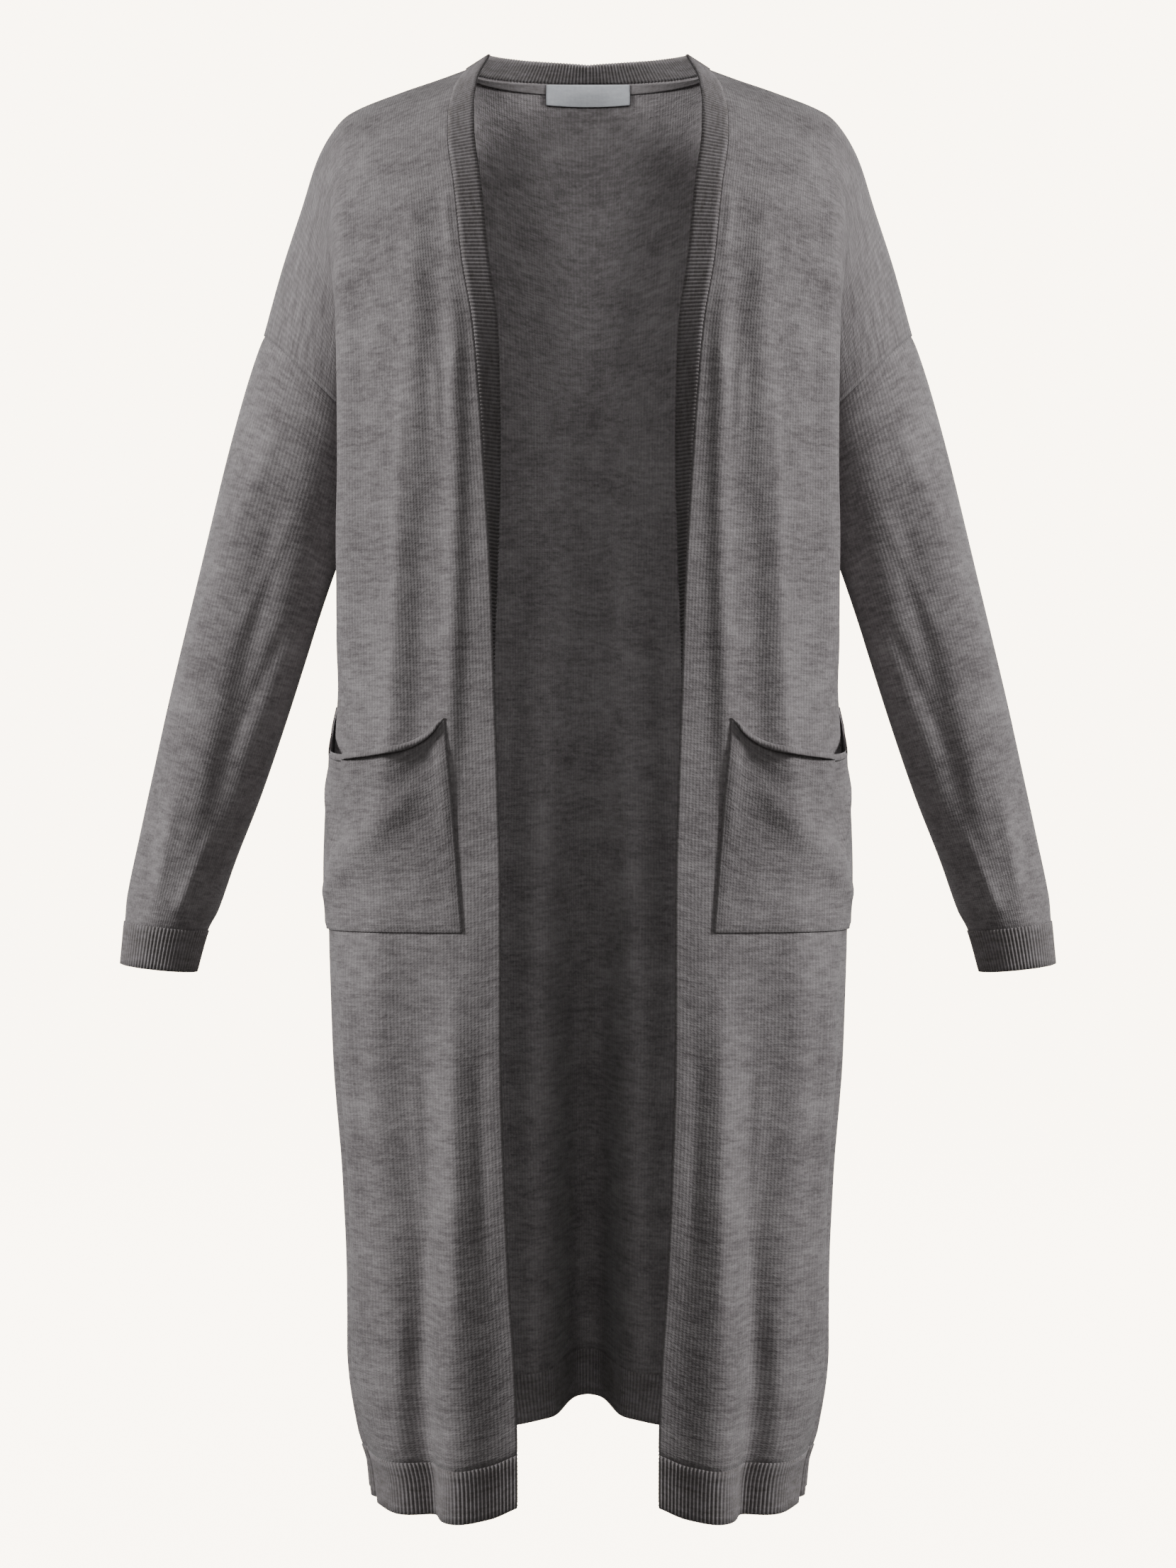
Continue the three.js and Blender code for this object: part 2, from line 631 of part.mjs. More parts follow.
function bandMesh(name, band, from, to, length) {
  const ribs = Math.round(length / BAND_RIB_PITCH);
  const step = (along) => Math.round(((along - from) / (to - from)) * 2 * ribs);
  return wallMesh(name, {
    outer: bandSkin(band, (along) => -ribWave(step(along))),
    inner: bandSkin(band, () => CLOTH),
    us: steps(from, to, 2 * ribs),
    innerUs: steps(from, to, ribs),
    vs: [0, 1],
    colour: RIB_GREY,
  });
}

// The pocket: the front panel's own points moved out, bagging open towards a drooping mouth,
// with the mouth's edge rolled outwards.
const frontFacets = (side) => onFacets(panelRows(-1, side, 0), FRONT_COLUMNS, PANEL_ROWS);

function pocketPoint(side, across, row, extra) {
  const up = Math.min(1, row);
  const inner = mix(POCKET_IN_FOOT, POCKET_IN_TOP, up);
  const share = mix(inner, POCKET_OUT, across);
  const mouthZ = reading(POCKET_MOUTH, 'at', 'z', across);
  const z = mix(POCKET_FLOOR_Z, mouthZ, up);
  const height = (z - hemZ(-1, share)) / (UNDERARM_Z - hemZ(-1, share));
  const floor = ribTop(-1, share);
  const direction = panelOutward(-1, side, share, height);
  const bag = reading(POCKET_MOUTH, 'at', 'bag', across) * up ** 1.8;
  const bagWay = direction.clone().lerp(FRONTWARDS, POCKET_FORWARD).normalize();
  const point = frontFacets(side)(share, (height - floor) / (1 - floor));
  point.addScaledVector(direction, POCKET_CLEAR + extra).addScaledVector(bagWay, bag);
  if (row > 1) {
    const turn = THREE.MathUtils.degToRad(ROLL_TURN * (row - 1));
    const radius = ROLL_RADIUS - extra;
    point.addScaledVector(direction, ROLL_RADIUS - extra - radius * Math.cos(turn));
    point.z += radius * Math.sin(turn);
  }
  return point;
}

function pocketMesh(name, side) {
  const rows = [...steps(0, 1, POCKET_ROWS), ...steps(1, 2, ROLL_STEPS).slice(1)];
  return wallMesh(name, {
    outer: (across, row) => pocketPoint(side, across, row, CLOTH),
    inner: (across, row) => pocketPoint(side, across, row, 0),
    us: steps(0, 1, POCKET_STEPS),
    vs: rows,
    colour: KNIT_GREY,
  });
}

// Tape and label hang inside the back neck, on the back panel's inner points moved in
const backInside = onFacets(panelRows(1, 1, CLOTH), BACK_COLUMNS, PANEL_ROWS);

const NECK_STEP = (2 * BACK_NECK_AT) / BACK_NECK_STEPS;

function innerPatchMesh(name, { columns, clear, thick, drop, colour }) {
  const skin = (inset) => (share, row) => {
    const height = NECK_SEAM_ROW - row * drop;
    const direction = panelOutward(1, 1, share, height);
    return backInside(share, height).addScaledVector(direction, -inset);
  };
  return wallMesh(name, {
    outer: skin(clear),
    inner: skin(clear + thick),
    us: columns,
    vs: [1, 0],
    colour,
  });
}

const NECK_BAND = { frame: neckBandFrame, side: 1, sense: 1, shoulder: 1 };
const NECK_TAPE = {
  columns: steps(-NECK_TAPE_HALF * NECK_STEP, NECK_TAPE_HALF * NECK_STEP, 2 * NECK_TAPE_HALF),
  clear: SEAM_GAP,
  thick: TAPE,
  drop: NECK_TAPE_DROP,
  colour: RIB_GREY,
};
const LABEL = {
  columns: [-LABEL_SHARE, -NECK_STEP, 0, NECK_STEP, LABEL_SHARE],
  clear: TAPE + 2 * SEAM_GAP,
  thick: TAPE,
  drop: LABEL_DROP,
  colour: LABEL_GREY,
};

const cardigan = new THREE.Group();
cardigan.add(panelMesh('back', 1, 1, BACK_COLUMNS));
cardigan.add(hemRibMesh('hem_rib_back', 1, 1, -1, 1, BACK_HEM_RUN));
cardigan.add(bandMesh('neck_band', NECK_BAND, -1, 1, NECK_BAND_RUN));
cardigan.add(innerPatchMesh('neck_tape', NECK_TAPE));
cardigan.add(innerPatchMesh('label', LABEL));
for (const [wearer, side] of [['left', 1], ['right', -1]]) {
  cardigan.add(panelMesh(`front_${wearer}`, -1, side, FRONT_COLUMNS));
  cardigan.add(hemRibMesh(`hem_rib_${wearer}`, -1, side, 0, 1, FRONT_HEM_RUN));
  cardigan.add(sleeveMesh(`sleeve_${wearer}`, side));
  cardigan.add(cuffMesh(`cuff_${wearer}`, side));
  const band = { frame: bandFrame, side, sense: -1, shoulder: 2 };
  cardigan.add(bandMesh(`front_band_${wearer}`, band, -1, 2, FRONT_BAND_RUN));
  cardigan.add(pocketMesh(`pocket_${wearer}`, side));
}

export default cardigan;
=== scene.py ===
# %% [markdown]
# # The looks of a duster cardigan
#
# A long, open cardigan in fine grey knit, filled out as if it were worn, with nobody in it.
# The frame holds a plain solid for each piece that a maker would cut. Here each one gets a
# finer shell on the same form, with its small creases, real ribs, rolled edges and yarn.
#
# Lengths are in millimetres while a surface is worked out, and in metres in the scene.
# +Z is up, the opening faces -Y, and the wearer's left is +X.

# %% Load the frame
import json
from collections import namedtuple

import bpy
import numpy as np
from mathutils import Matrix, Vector

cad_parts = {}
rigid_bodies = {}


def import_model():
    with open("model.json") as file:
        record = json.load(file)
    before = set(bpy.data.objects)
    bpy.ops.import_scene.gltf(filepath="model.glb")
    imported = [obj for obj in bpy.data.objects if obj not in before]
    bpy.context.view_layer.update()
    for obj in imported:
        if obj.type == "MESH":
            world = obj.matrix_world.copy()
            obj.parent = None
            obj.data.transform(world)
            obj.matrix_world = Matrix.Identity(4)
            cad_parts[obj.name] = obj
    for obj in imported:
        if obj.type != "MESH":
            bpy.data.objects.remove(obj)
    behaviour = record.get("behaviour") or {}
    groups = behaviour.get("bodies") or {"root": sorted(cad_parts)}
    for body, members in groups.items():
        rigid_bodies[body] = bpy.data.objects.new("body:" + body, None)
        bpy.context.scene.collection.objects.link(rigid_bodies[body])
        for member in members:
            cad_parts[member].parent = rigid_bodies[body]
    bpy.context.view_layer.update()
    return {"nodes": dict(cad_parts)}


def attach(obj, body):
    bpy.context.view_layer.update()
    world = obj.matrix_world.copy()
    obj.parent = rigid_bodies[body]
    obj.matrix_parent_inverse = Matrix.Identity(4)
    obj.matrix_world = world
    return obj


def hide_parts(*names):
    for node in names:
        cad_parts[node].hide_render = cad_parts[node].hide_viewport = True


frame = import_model()
print("Loaded", len(frame["nodes"]), "solids of the frame")

# %% [markdown]
# ## Driving sizes
#
# A knitter works from a size chart: the girth at each level, the drop of the neck, the length
# of a sleeve. A sculpted mesh would hide those numbers, so here each surface is worked out from
# a table of them. The form's sizes are the solids' own. Ribs, edges and the label are finer here,
# because the looks can spend many more points on them.

# %% Sizes
CLOTH = 1.6
TAPE = 1.0
EDGE_ROUND = 0.3
SEAM_DIP, SEAM_REACH = 1.2, 3.5
UNDERARM_Z = -300
SEAM_GAP = 0.3
NECK_POINT = (94, 0, -12.5)
BACK_NECK_AT, BACK_NECK_Y, BACK_NECK_Z = 0.3, 62, -9
CHEST_LIFT, SHOULDER_ROLL = 450, 225
NECK_LIFT_SHARE, NECK_ROLL_SHARE, LOW_ROLL_SHARE = 0.75, 0.25, 0.55
CORNER_AT, PINCH_DEPTH = 0.94, 70
HEM_RIB_HEIGHT, BAND_WIDTH = 39, 20
CUFF_RUN, CUFF_END_RUN = 434, 467
RIB_RISE = 1.0
RIB_PITCH = 2.9
CUFF_RIB_PITCH = 2.6
COLUMNS_PER_RIB = 5
FOLD_FADE_TOP, FOLD_FADE_SIDE = 1.6, 5
POCKET_WIDE, POCKET_TALL = 165, 135
POCKET_SEWN, POCKET_CLEAR, POCKET_HUG, POCKET_CALM = 0.2, 1.35, 6, 0.16
POCKET_BAG_CURVE = 1.8
POCKET_FLOOR_Z = -676
POCKET_IN_FOOT, POCKET_IN_TOP, POCKET_OUT = 0.115, 0.16, 0.8
ROLL_RADIUS, ROLL_TURN, ROLL_TAPER = 3.2, 215, 0.2
ROLL_IN_END, ROLL_OUT_END = 0.05, 0.1
NECK_SEAM_ROW, NECK_TAPE_DROP, LABEL_DROP = 1.998, 0.048, 0.093
NECK_TAPE_SHARE, LABEL_SHARE = 0.2625, 0.07
LABEL_THICK = 0.7
BACK_BAND_TURN = np.array([0, -0.86, 0.51])
FRONTWARDS = np.array([0, -1, 0])

print("Cloth", CLOTH, "mm thick, ribs", RIB_PITCH, "mm apart")

# %% [markdown]
# The body is widest at the hips and narrows to the hem rib. Each level has its own half widths,
# its own depths to the front and back, and its own corners, which are squarest at the chest.

# %% Levels of the body, and the neck's edge
# A level of the body: half width at the corners and at the side seam, depth to the front and
# back, how square the corners are, and the x of the front opening's edge
BODY = {
    "z": [-1112, -1085, -1058, -1004, -948, -868, -767, -646, -569, -500, -425, -368, -330, -300],
    "corner": [169.5, 172, 180, 187, 187, 190, 197, 199, 196, 194, 195, 197, 197, 197],
    "side": [169, 172, 180, 187, 187, 190, 197, 199, 195, 190, 183, 171, 164.5, 167],
    "front": [122, 122, 124, 124, 123, 122, 121, 120, 119, 118, 118, 117, 116.5, 116],
    "back": [112, 112, 113, 112, 110, 108, 106, 106, 106, 107, 108, 109, 109, 109],
    "square": [2.6, 2.7, 2.8, 3, 3.4, 3.5, 3.7, 4, 4.3, 4.6, 5, 5, 5, 5],
    "edge": [52, 52, 52, 53.5, 57, 61, 64, 64.5, 66.5, 69, 71.5, 74.5, 77, 79],
}
# The band's seam from the underarm's level to the high point of the shoulder
NECK_EDGE = {
    "z": [-300, -227, -178, -121, -81, -61, -37, -12.5],
    "x": [79, 85.2, 93.3, 99.6, 105, 105.4, 103, 94],
    "y": [116, 110, 104, 92, 75, 60, 35, 0],
}
print("Levels of the body:", len(BODY["z"]))

# %% [markdown]
# The shoulder is dropped: the seam to the sleeve lies on the upper arm. A sleeve is a row of
# ellipses on a bent centre line, the way that a tailor measures an arm, in rings.

# %% Shoulder and sleeve
# The shoulder line by the share of a front panel's width, down over the upper arm
SHOULDER = {
    "at": [0, 0.125, 0.25, 0.45, 0.5, 0.62, 0.77, 0.88, 1],
    "x": [94, 118, 143, 183, 192, 208, 222, 236.5, 251],
    "z": [-12.5, -21.5, -30.5, -48, -56, -82, -124, -168, -220],
}
# The sleeve's rings by the run of its centre line: centre, half width, half depth and tilt
SLEEVE = {
    "run": [0, 42, 94, 158, 259, 316, 373, 415, 434, 467],
    "x": [209, 220, 234, 252, 279, 294.5, 311, 322, 327, 333],
    "z": [-260, -300, -350, -412, -509, -564, -619, -659, -677, -709],
    "width": [58, 55.5, 53, 49.6, 45.8, 42.7, 38.2, 35.6, 32.2, 29.2],
    "depth": [62, 57, 53, 50, 46, 43, 39, 36.5, 33, 30],
    "tilt": [43.6, 30, 20, 16, 15.6, 15.6, 14.5, 10, 7, 6.5],
}
print("Rings of a sleeve:", len(SLEEVE["run"]))

# %% [markdown]
# The band stands on the front's edge and turns as it falls. The hems hang lower at the sides,
# and the pocket's mouth sags between its two sewn corners.

# %% Band, hems and the pocket's mouth
# The way the front band leaves its seam
BAND_TURN = {
    "z": [-1106, -600, -476, -385, -339, -274, -178, -98, -12.5],
    "middle": [-0.2, -0.2, 0, 0.32, 0.52, 0.74, 0.95, 0.96, 0.84],
    "back": [0.98, 0.98, 1, 0.94, 0.85, 0.67, 0.3, 0.2, 0],
    "up": [0, 0, 0, 0, 0, 0, 0.05, 0.2, 0.54],
}
FRONT_HEM = {"at": [0, 0.09, 0.2, 1], "z": [-1098, -1106, -1109, -1110]}
BACK_HEM = {"at": [0, 0.14, 0.3, 0.6, 1], "z": [-1078, -1084, -1089, -1095, -1110]}
POCKET_MOUTH = {
    "at": [0, 0.1, 0.22, 0.45, 0.66, 0.84, 0.94, 1],
    "z": [-519, -533, -541, -546, -548, -545, -532, -509],
    "bag": [0, 4, 9, 15, 21, 17, 8, 0],
}
print("The pocket's mouth sags by", max(POCKET_MOUTH["z"]) - min(POCKET_MOUTH["z"]), "mm")

# %% [markdown]
# ## Folds and creases
#
# A fine knit falls in long soft folds from where it is held, with small creases between them. A
# cloth simulation would put them anywhere, so each is a row, placed one by one beside the
# photograph and uneven as cloth is. A row says where across the panel the fold starts and ends,
# the heights between which it runs, how far it stands out (in, below zero), its half width
# across, and the runs over which it starts and ends. The first tables repeat the large folds of
# the solids, some of them a little flatter.

# %% Folds of the fronts
Fold = namedtuple("Fold", "top foot high low out wide start end flat", defaults=[2])
FRONT_FOLDS = [
    Fold(0.16, 0.37, -90, -640, 4.2, 0.058, 110, 120),
    Fold(0.05, 0.17, -160, -620, 4.5, 0.035, 100, 100),
    Fold(0.22, 0.27, -300, -620, -2, 0.045, 120, 120),
    Fold(0.11, 0.2, -600, -1150, 15, 0.1, 420, 10),
    Fold(0.2, 0.31, -640, -1150, -13, 0.05, 420, 10),
    Fold(0.37, 0.4, -620, -1150, 6, 0.06, 110, 10),
    Fold(0.46, 0.49, -640, -1090, 5, 0.045, 90, 90),
    Fold(0.56, 0.6, -660, -1150, -7, 0.07, 200, 10),
    Fold(0.5, 0.5, -70, -560, 4, 0.05, 80, 80),
    Fold(0.57, 0.57, -440, -660, -9, 0.08, 80, 90),
    Fold(0.8, 0.82, -560, -1150, -5, 0.1, 240, 10),
]
FRONT_CREASES = [
    Fold(0.31, 0.26, -140, -225, 1.6, 0.028, 40, 50),
    Fold(0.145, 0.15, -235, -350, 1.8, 0.022, 40, 60),
    Fold(0.07, 0.125, -232, -330, 1, 0.018, 40, 50),
    Fold(0.045, 0.035, -120, -190, 1.3, 0.016, 30, 35),
    Fold(0.26, 0.36, -240, -600, 1.4, 0.02, 120, 110),
    Fold(0.4, 0.45, -150, -520, -1.5, 0.05, 110, 110),
    Fold(0.62, 0.58, -120, -300, 2.2, 0.03, 60, 70),
    Fold(0.68, 0.66, -330, -520, 2, 0.035, 60, 70),
    Fold(0.06, 0.075, -720, -960, -1.8, 0.025, 80, 90),
    Fold(0.13, 0.17, -700, -1000, 2.2, 0.028, 90, 80),
    Fold(0.26, 0.27, -760, -930, 1.4, 0.02, 50, 60),
    Fold(0.42, 0.44, -700, -900, -2, 0.022, 60, 60),
    Fold(0.33, 0.36, -940, -1075, 2, 0.022, 40, 30),
    Fold(0.24, 0.22, -1000, -1090, -2.4, 0.02, 40, 20),
    Fold(0.47, 0.5, -960, -1085, -2, 0.02, 40, 25),
]
print("Folds and creases on a front:", len(FRONT_FOLDS + FRONT_CREASES))

# %% [markdown]
# The back is the widest piece and hangs free, so it drops into one deep fold at its middle. Its
# bell has a power of 4, which gives steep sides and a flat floor. The rest is like the fronts.

# %% Folds of the back
BACK_FOLDS = [
    Fold(0, 0, -330, -1150, 78, 0.066, 1000, 10, 4),
    Fold(0, 0, -60, -800, -4, 0.13, 250, 300),
    Fold(0.12, 0.2, -420, -1150, -14, 0.09, 600, 10),
    Fold(0.34, 0.4, -240, -1150, 9, 0.07, 400, 10),
    Fold(0.47, 0.53, -420, -1150, -9, 0.06, 400, 10),
    Fold(0.62, 0.68, -340, -1150, 6, 0.07, 300, 10),
    Fold(0.8, 0.84, -560, -1150, -5, 0.08, 240, 10),
]
BACK_CREASES = [
    Fold(0.1, 0.125, -480, -1085, -6, 0.028, 200, 40),
    Fold(0.17, 0.19, -300, -1085, 5, 0.03, 200, 40),
    Fold(0.05, 0.07, -90, -420, -2.5, 0.03, 100, 120),
    Fold(0.2, 0.26, -110, -330, 2.2, 0.03, 60, 80),
    Fold(0.44, 0.36, -140, -330, -2.2, 0.03, 60, 70),
    Fold(0.12, 0.17, -330, -560, 2, 0.024, 70, 80),
    Fold(0.27, 0.24, -470, -700, -1.8, 0.022, 60, 70),
    Fold(0.4, 0.42, -380, -620, 1.8, 0.024, 60, 70),
    Fold(0.06, 0.1, -620, -860, 1.6, 0.016, 70, 80),
    Fold(0.22, 0.25, -760, -1010, 2, 0.022, 70, 70),
    Fold(0.31, 0.3, -900, -1070, -1.8, 0.02, 40, 30),
    Fold(0.56, 0.6, -700, -960, 2, 0.026, 70, 80),
    Fold(0.72, 0.68, -180, -320, 2, 0.03, 50, 60),
]
print("Folds and creases on the back:", len(BACK_FOLDS + BACK_CREASES))

# %% [markdown]
# A sleeve creases round the elbow and twists a little. A pocket with nothing in it is pulled
# into a soft ridge from its inner corner, which meets a sharper one from the outer corner.

# %% Folds of the sleeves and pockets
# On a sleeve, places are degrees round it from the underarm, and runs down it
SLEEVE_FOLDS = [
    Fold(118, 140, 20, 330, 3.5, 20, 90, 90),
    Fold(90, 62, 70, 390, -5, 16, 90, 90),
    Fold(150, 120, 300, 432, -3, 15, 50, 40),
    Fold(250, 285, 60, 380, -5, 18, 110, 110),
    Fold(215, 225, 120, 430, 3.5, 20, 80, 60),
    Fold(25, 40, 90, 300, 3, 18, 70, 70),
]
SLEEVE_CREASES = [
    Fold(100, 128, 25, 170, 1.8, 7, 40, 60),
    Fold(74, 96, 90, 230, 1.6, 7, 40, 60),
    Fold(48, 70, 170, 300, -2, 7, 40, 50),
    Fold(140, 150, 120, 290, -1.8, 9, 50, 60),
    Fold(112, 104, 310, 425, 2.2, 8, 40, 30),
    Fold(60, 76, 340, 428, 1.8, 7, 30, 20),
    Fold(235, 250, 40, 200, 2, 9, 40, 70),
    Fold(300, 280, 180, 330, 2, 9, 50, 60),
    Fold(200, 192, 300, 428, -2, 9, 50, 25),
    Fold(330, 345, 60, 200, -2, 10, 40, 50),
]
# On a pocket, places are shares across it from its inner side, and rows down from its mouth
POCKET_CREASES = [
    Fold(0.05, 0.82, 0.92, 0.08, 4, 0.12, 0.3, 0.15),
    Fold(0.95, 0.6, 0.9, 0.36, 2.2, 0.03, 0.12, 0.1),
    Fold(0.5, 0.6, 0.88, 0.42, -2, 0.12, 0.15, 0.1),
    Fold(0.42, 0.86, 0.5, 0.08, -1.4, 0.06, 0.12, 0.1),
    Fold(0.9, 0.92, 0.8, 0.1, 1.2, 0.03, 0.15, 0.1),
]
print("Folds and creases on a sleeve:", len(SLEEVE_FOLDS + SLEEVE_CREASES))

# %% [markdown]
# ## Surfaces
#
# Every surface is a function of two arrays, so a whole grid of points is worked out at once,
# with no loop over them. First come the small tools that all of them share.

# %% Small tools
def smooth(t):
    """0 below 0, 1 above 1, and an even S between them."""
    t = np.clip(t, 0, 1)
    return t * t * (3 - 2 * t)


def mix(a, b, t):
    """The place a share t of the way from a to b."""
    return a + (b - a) * t


def unit(vectors):
    """The vectors, each divided by its own length."""
    return vectors / np.linalg.norm(vectors, axis=-1, keepdims=True)


def points(x, y, z):
    """Points from three arrays, spread to one shape."""
    return np.stack(np.broadcast_arrays(x, y, z), axis=-1).astype(float)


print("A smooth step, a quarter of the way up:", float(smooth(0.25)))

# %% [markdown]
# A table has a row only where the form changes. Straight lines between rows would show as kinks
# in the cloth, and a common spline swings past its points, so this cubic never overshoots.

# %% Reading a table
def reading(table, key, column, at):
    """A column of a table at any place: a cubic between its rows, whose slope at a row is the
    harmonic mean of the slopes on both sides, and 0 at a turning point, so it never overshoots."""
    x, y = np.array(table[key], float), np.array(table[column], float)
    gap = np.diff(x)
    slope = np.diff(y) / gap
    before = np.concatenate([slope[:1], slope])
    after = np.concatenate([slope, slope[-1:]])
    same = before * after > 0
    bend = np.where(same, 2 * before * after / np.where(same, before + after, 1), 0)
    at = np.clip(at, x[0], x[-1])
    row = np.clip(np.searchsorted(x, at, side="right") - 1, 0, len(gap) - 1)
    t = (at - x[row]) / gap[row]
    curve = t * (1 - t) ** 2 * bend[row] + t * t * (t - 1) * bend[row + 1]
    return mix(y[row], y[row + 1], smooth(t)) + gap[row] * curve


print("Half width at the waist, in mm:", round(float(reading(BODY, "z", "corner", -500.0)), 1))

# %% [markdown]
# A fold in cloth has a rounded back and fades out at both ends. A bell curve across it and an S
# at each end give that, and folds that cross simply add up, as they do in a soft knit.

# %% Height of the folds
def fold_height(folds, across, along):
    """How far folds push the cloth out: for each, its height times a bell across it, times an
    S where it starts and where it ends."""
    height = 0.0
    for fold in folds:
        run = abs(fold.low - fold.high)
        gone = (along - fold.high) / (fold.low - fold.high) * run
        centre = mix(fold.top, fold.foot, np.clip(gone / run, 0, 1))
        bell = np.exp(-np.abs((across - centre) / fold.wide) ** fold.flat)
        ends = smooth(gone / fold.start) * smooth((run - gone) / fold.end)
        height = height + fold.out * bell * ends
    return height


at_waist = fold_height(FRONT_FOLDS, 0.3, -500.0)
print("Fold height on a front at the waist, in mm:", round(float(at_waist), 1))

# %% [markdown]
# Cut across, the body is neither round nor flat: the cloth goes straight over the chest and
# turns at the corners. A superellipse does this with one number, its power. The side seam is
# pinched in below the arm, where the sleeve pulls it.

# %% Section of the body
def section_point(face, share, z):
    """A point of a level's rounded square, and the way out of it. The inner half of the share
    runs across to the corner and the outer half back to the side seam."""
    corner, square = reading(BODY, "z", "corner", z), reading(BODY, "z", "square", z)
    depth = reading(BODY, "z", "front" if face < 0 else "back", z)
    start = reading(BODY, "z", "edge", z) if face < 0 else 0

    def other(value, near, far):
        return far * (1 - np.minimum(1, value / near) ** square) ** (1 / square)

    turn_x = CORNER_AT * corner
    turn_y = other(turn_x, corner, depth)
    inner = share <= 0.5
    past = np.clip(2 - 2 * share, 0, 1)
    x = np.where(inner, mix(start, turn_x, 2 * share), other(turn_y * past, depth, corner))
    y = np.where(inner, other(np.minimum(x, corner), corner, depth), turn_y * past)
    way = points((x / corner) ** (square - 1) / corner, face * (y / depth) ** (square - 1) / depth, 0)
    pinch = (corner - reading(BODY, "z", "side", z)) * np.exp(-((y / PINCH_DEPTH) ** 4))
    return points(x - pinch, face * y, z), unit(way)


waist = section_point(-1, np.array([0.5]), np.array([-500.0]))[0][0]
print("The front's corner at the waist, in mm:", waist.round(1))

# %% [markdown]
# A sleeve could be a circle carried along a path, but an arm is flatter than it is wide and the
# armhole is tilted more than the wrist. So each ring has its own two radii and its own tilt.

# %% Rings of a sleeve
def ring_point(run, angle, face=-1, folds=SLEEVE_FOLDS):
    """A point of a sleeve's ring, an ellipse tilted about Y: 0 degrees is the underarm."""
    row = {name: reading(SLEEVE, "run", name, run) for name in ("x", "z", "width", "depth", "tilt")}
    tilt, turn = np.radians(row["tilt"]), np.radians(angle)
    bump = fold_height(folds, angle, run)
    reach = -(row["width"] + bump) * np.cos(turn)
    return points(
        row["x"] + np.cos(tilt) * reach,
        face * (row["depth"] + bump) * np.sin(turn),
        row["z"] + np.sin(tilt) * reach,
    )


cuff_end = ring_point(np.array([CUFF_END_RUN]), np.array([180.0]))[0]
print("The cuff's outer end, in mm:", cuff_end.round(1))

# %% [markdown]
# From the underarm up, the cloth leaves upright and rolls over the shoulder. A cubic curve for
# each column knows both ends and both directions, so the two faces meet along the shoulder.

# %% Over the shoulder
def top_point(face, share):
    """Where a column of the body ends: on the shoulder line, or on the back neck's ellipse."""
    at = share if face < 0 else np.clip((share - BACK_NECK_AT) / (1 - BACK_NECK_AT), 0, 1)
    shoulder = points(reading(SHOULDER, "at", "x", at), 0, reading(SHOULDER, "at", "z", at))
    turn = np.clip(1 - share / BACK_NECK_AT, 0, 1) * np.pi / 2
    neck = points(
        NECK_POINT[0] * np.cos(turn),
        BACK_NECK_Y * np.sin(turn),
        mix(NECK_POINT[2], BACK_NECK_Z, np.sin(turn)),
    )
    on_neck = (share < BACK_NECK_AT) & (face > 0)
    return np.where(on_neck[..., None], neck, shoulder)


def leg_point(face, share, rise):
    """A cubic curve that leaves the underarm's level upwards and arrives over the shoulder."""
    foot = section_point(face, share, np.full_like(share, UNDERARM_Z))[0]
    top = top_point(face, share)
    neck = smooth(1 - share / BACK_NECK_AT) if face > 0 else 0 * share
    height = (top[..., 2] - UNDERARM_Z) / (NECK_POINT[2] - UNDERARM_Z)
    lift = CHEST_LIFT * height * mix(1, NECK_LIFT_SHARE, neck)
    roll = SHOULDER_ROLL * mix(LOW_ROLL_SHARE, 1, height) * mix(1, NECK_ROLL_SHARE, neck)
    leave = points(0, 0, lift / 3)
    arrive = points(0, -face * roll / 3, neck * CHEST_LIFT / 9)
    t = rise[..., None]
    low = foot * (1 - t) ** 3 + 3 * (foot + leave) * t * (1 - t) ** 2
    return low + 3 * (top - arrive) * t * t * (1 - t) + top * t ** 3


print("The middle of the shoulder, in mm:", top_point(-1, np.array([0.5]))[0].round(1))

# %% [markdown]
# Now the parts join into one cloth. Near the armhole the columns bend to meet the sleeve's first
# ring, and near the neck they bend to the band's seam.

# %% The cloth of the body
def hem_z(face, share):
    """The height of the hem."""
    return reading(FRONT_HEM if face < 0 else BACK_HEM, "at", "z", share)


def rib_top(face, share):
    """The hem rib's top edge, as a height of the body."""
    return HEM_RIB_HEIGHT / (UNDERARM_Z - hem_z(face, np.abs(share)))


def body_point(face, side, signed_share, height):
    """A point of the body's cloth. Height 0 is the hem, 1 the underarm's level and 2 the
    shoulder. Folds push it out, and die away at the shoulder and the armhole."""
    share = np.minimum(1, np.abs(signed_share))
    low = height <= 1
    z = np.where(low, mix(hem_z(face, share), UNDERARM_Z, np.minimum(height, 1)), UNDERARM_Z)
    section, out = section_point(face, share, z)
    rise = np.maximum(0, height - 1)
    upper = leg_point(face, share, rise)
    armhole = ring_point(0 * rise, 180 * rise, face) - leg_point(face, np.ones_like(share), rise)
    upper = upper + armhole * np.maximum(0, 2 * share - 1)[..., None]
    if face < 0:
        plain = leg_point(face, 0 * share, rise)
        edge_z = plain[..., 2]
        across, depth = (reading(NECK_EDGE, "z", name, edge_z) for name in "xy")
        edge = points(across, -depth, edge_z)
        upper = upper + (edge - plain) * np.maximum(0, 1 - 2 * share)[..., None]
    place = np.where(low[..., None], section, upper)
    fade = smooth((2 - height) * FOLD_FADE_TOP) * smooth((1 - share) * FOLD_FADE_SIDE)
    calm = np.where(low, 1, fade)
    folds = FRONT_FOLDS + FRONT_CREASES if face < 0 else BACK_FOLDS + BACK_CREASES
    place = place + out * (fold_height(folds, share, place[..., 2]) * calm)[..., None]
    place[..., 0] *= np.where(signed_share < 0, -side, side)
    return place


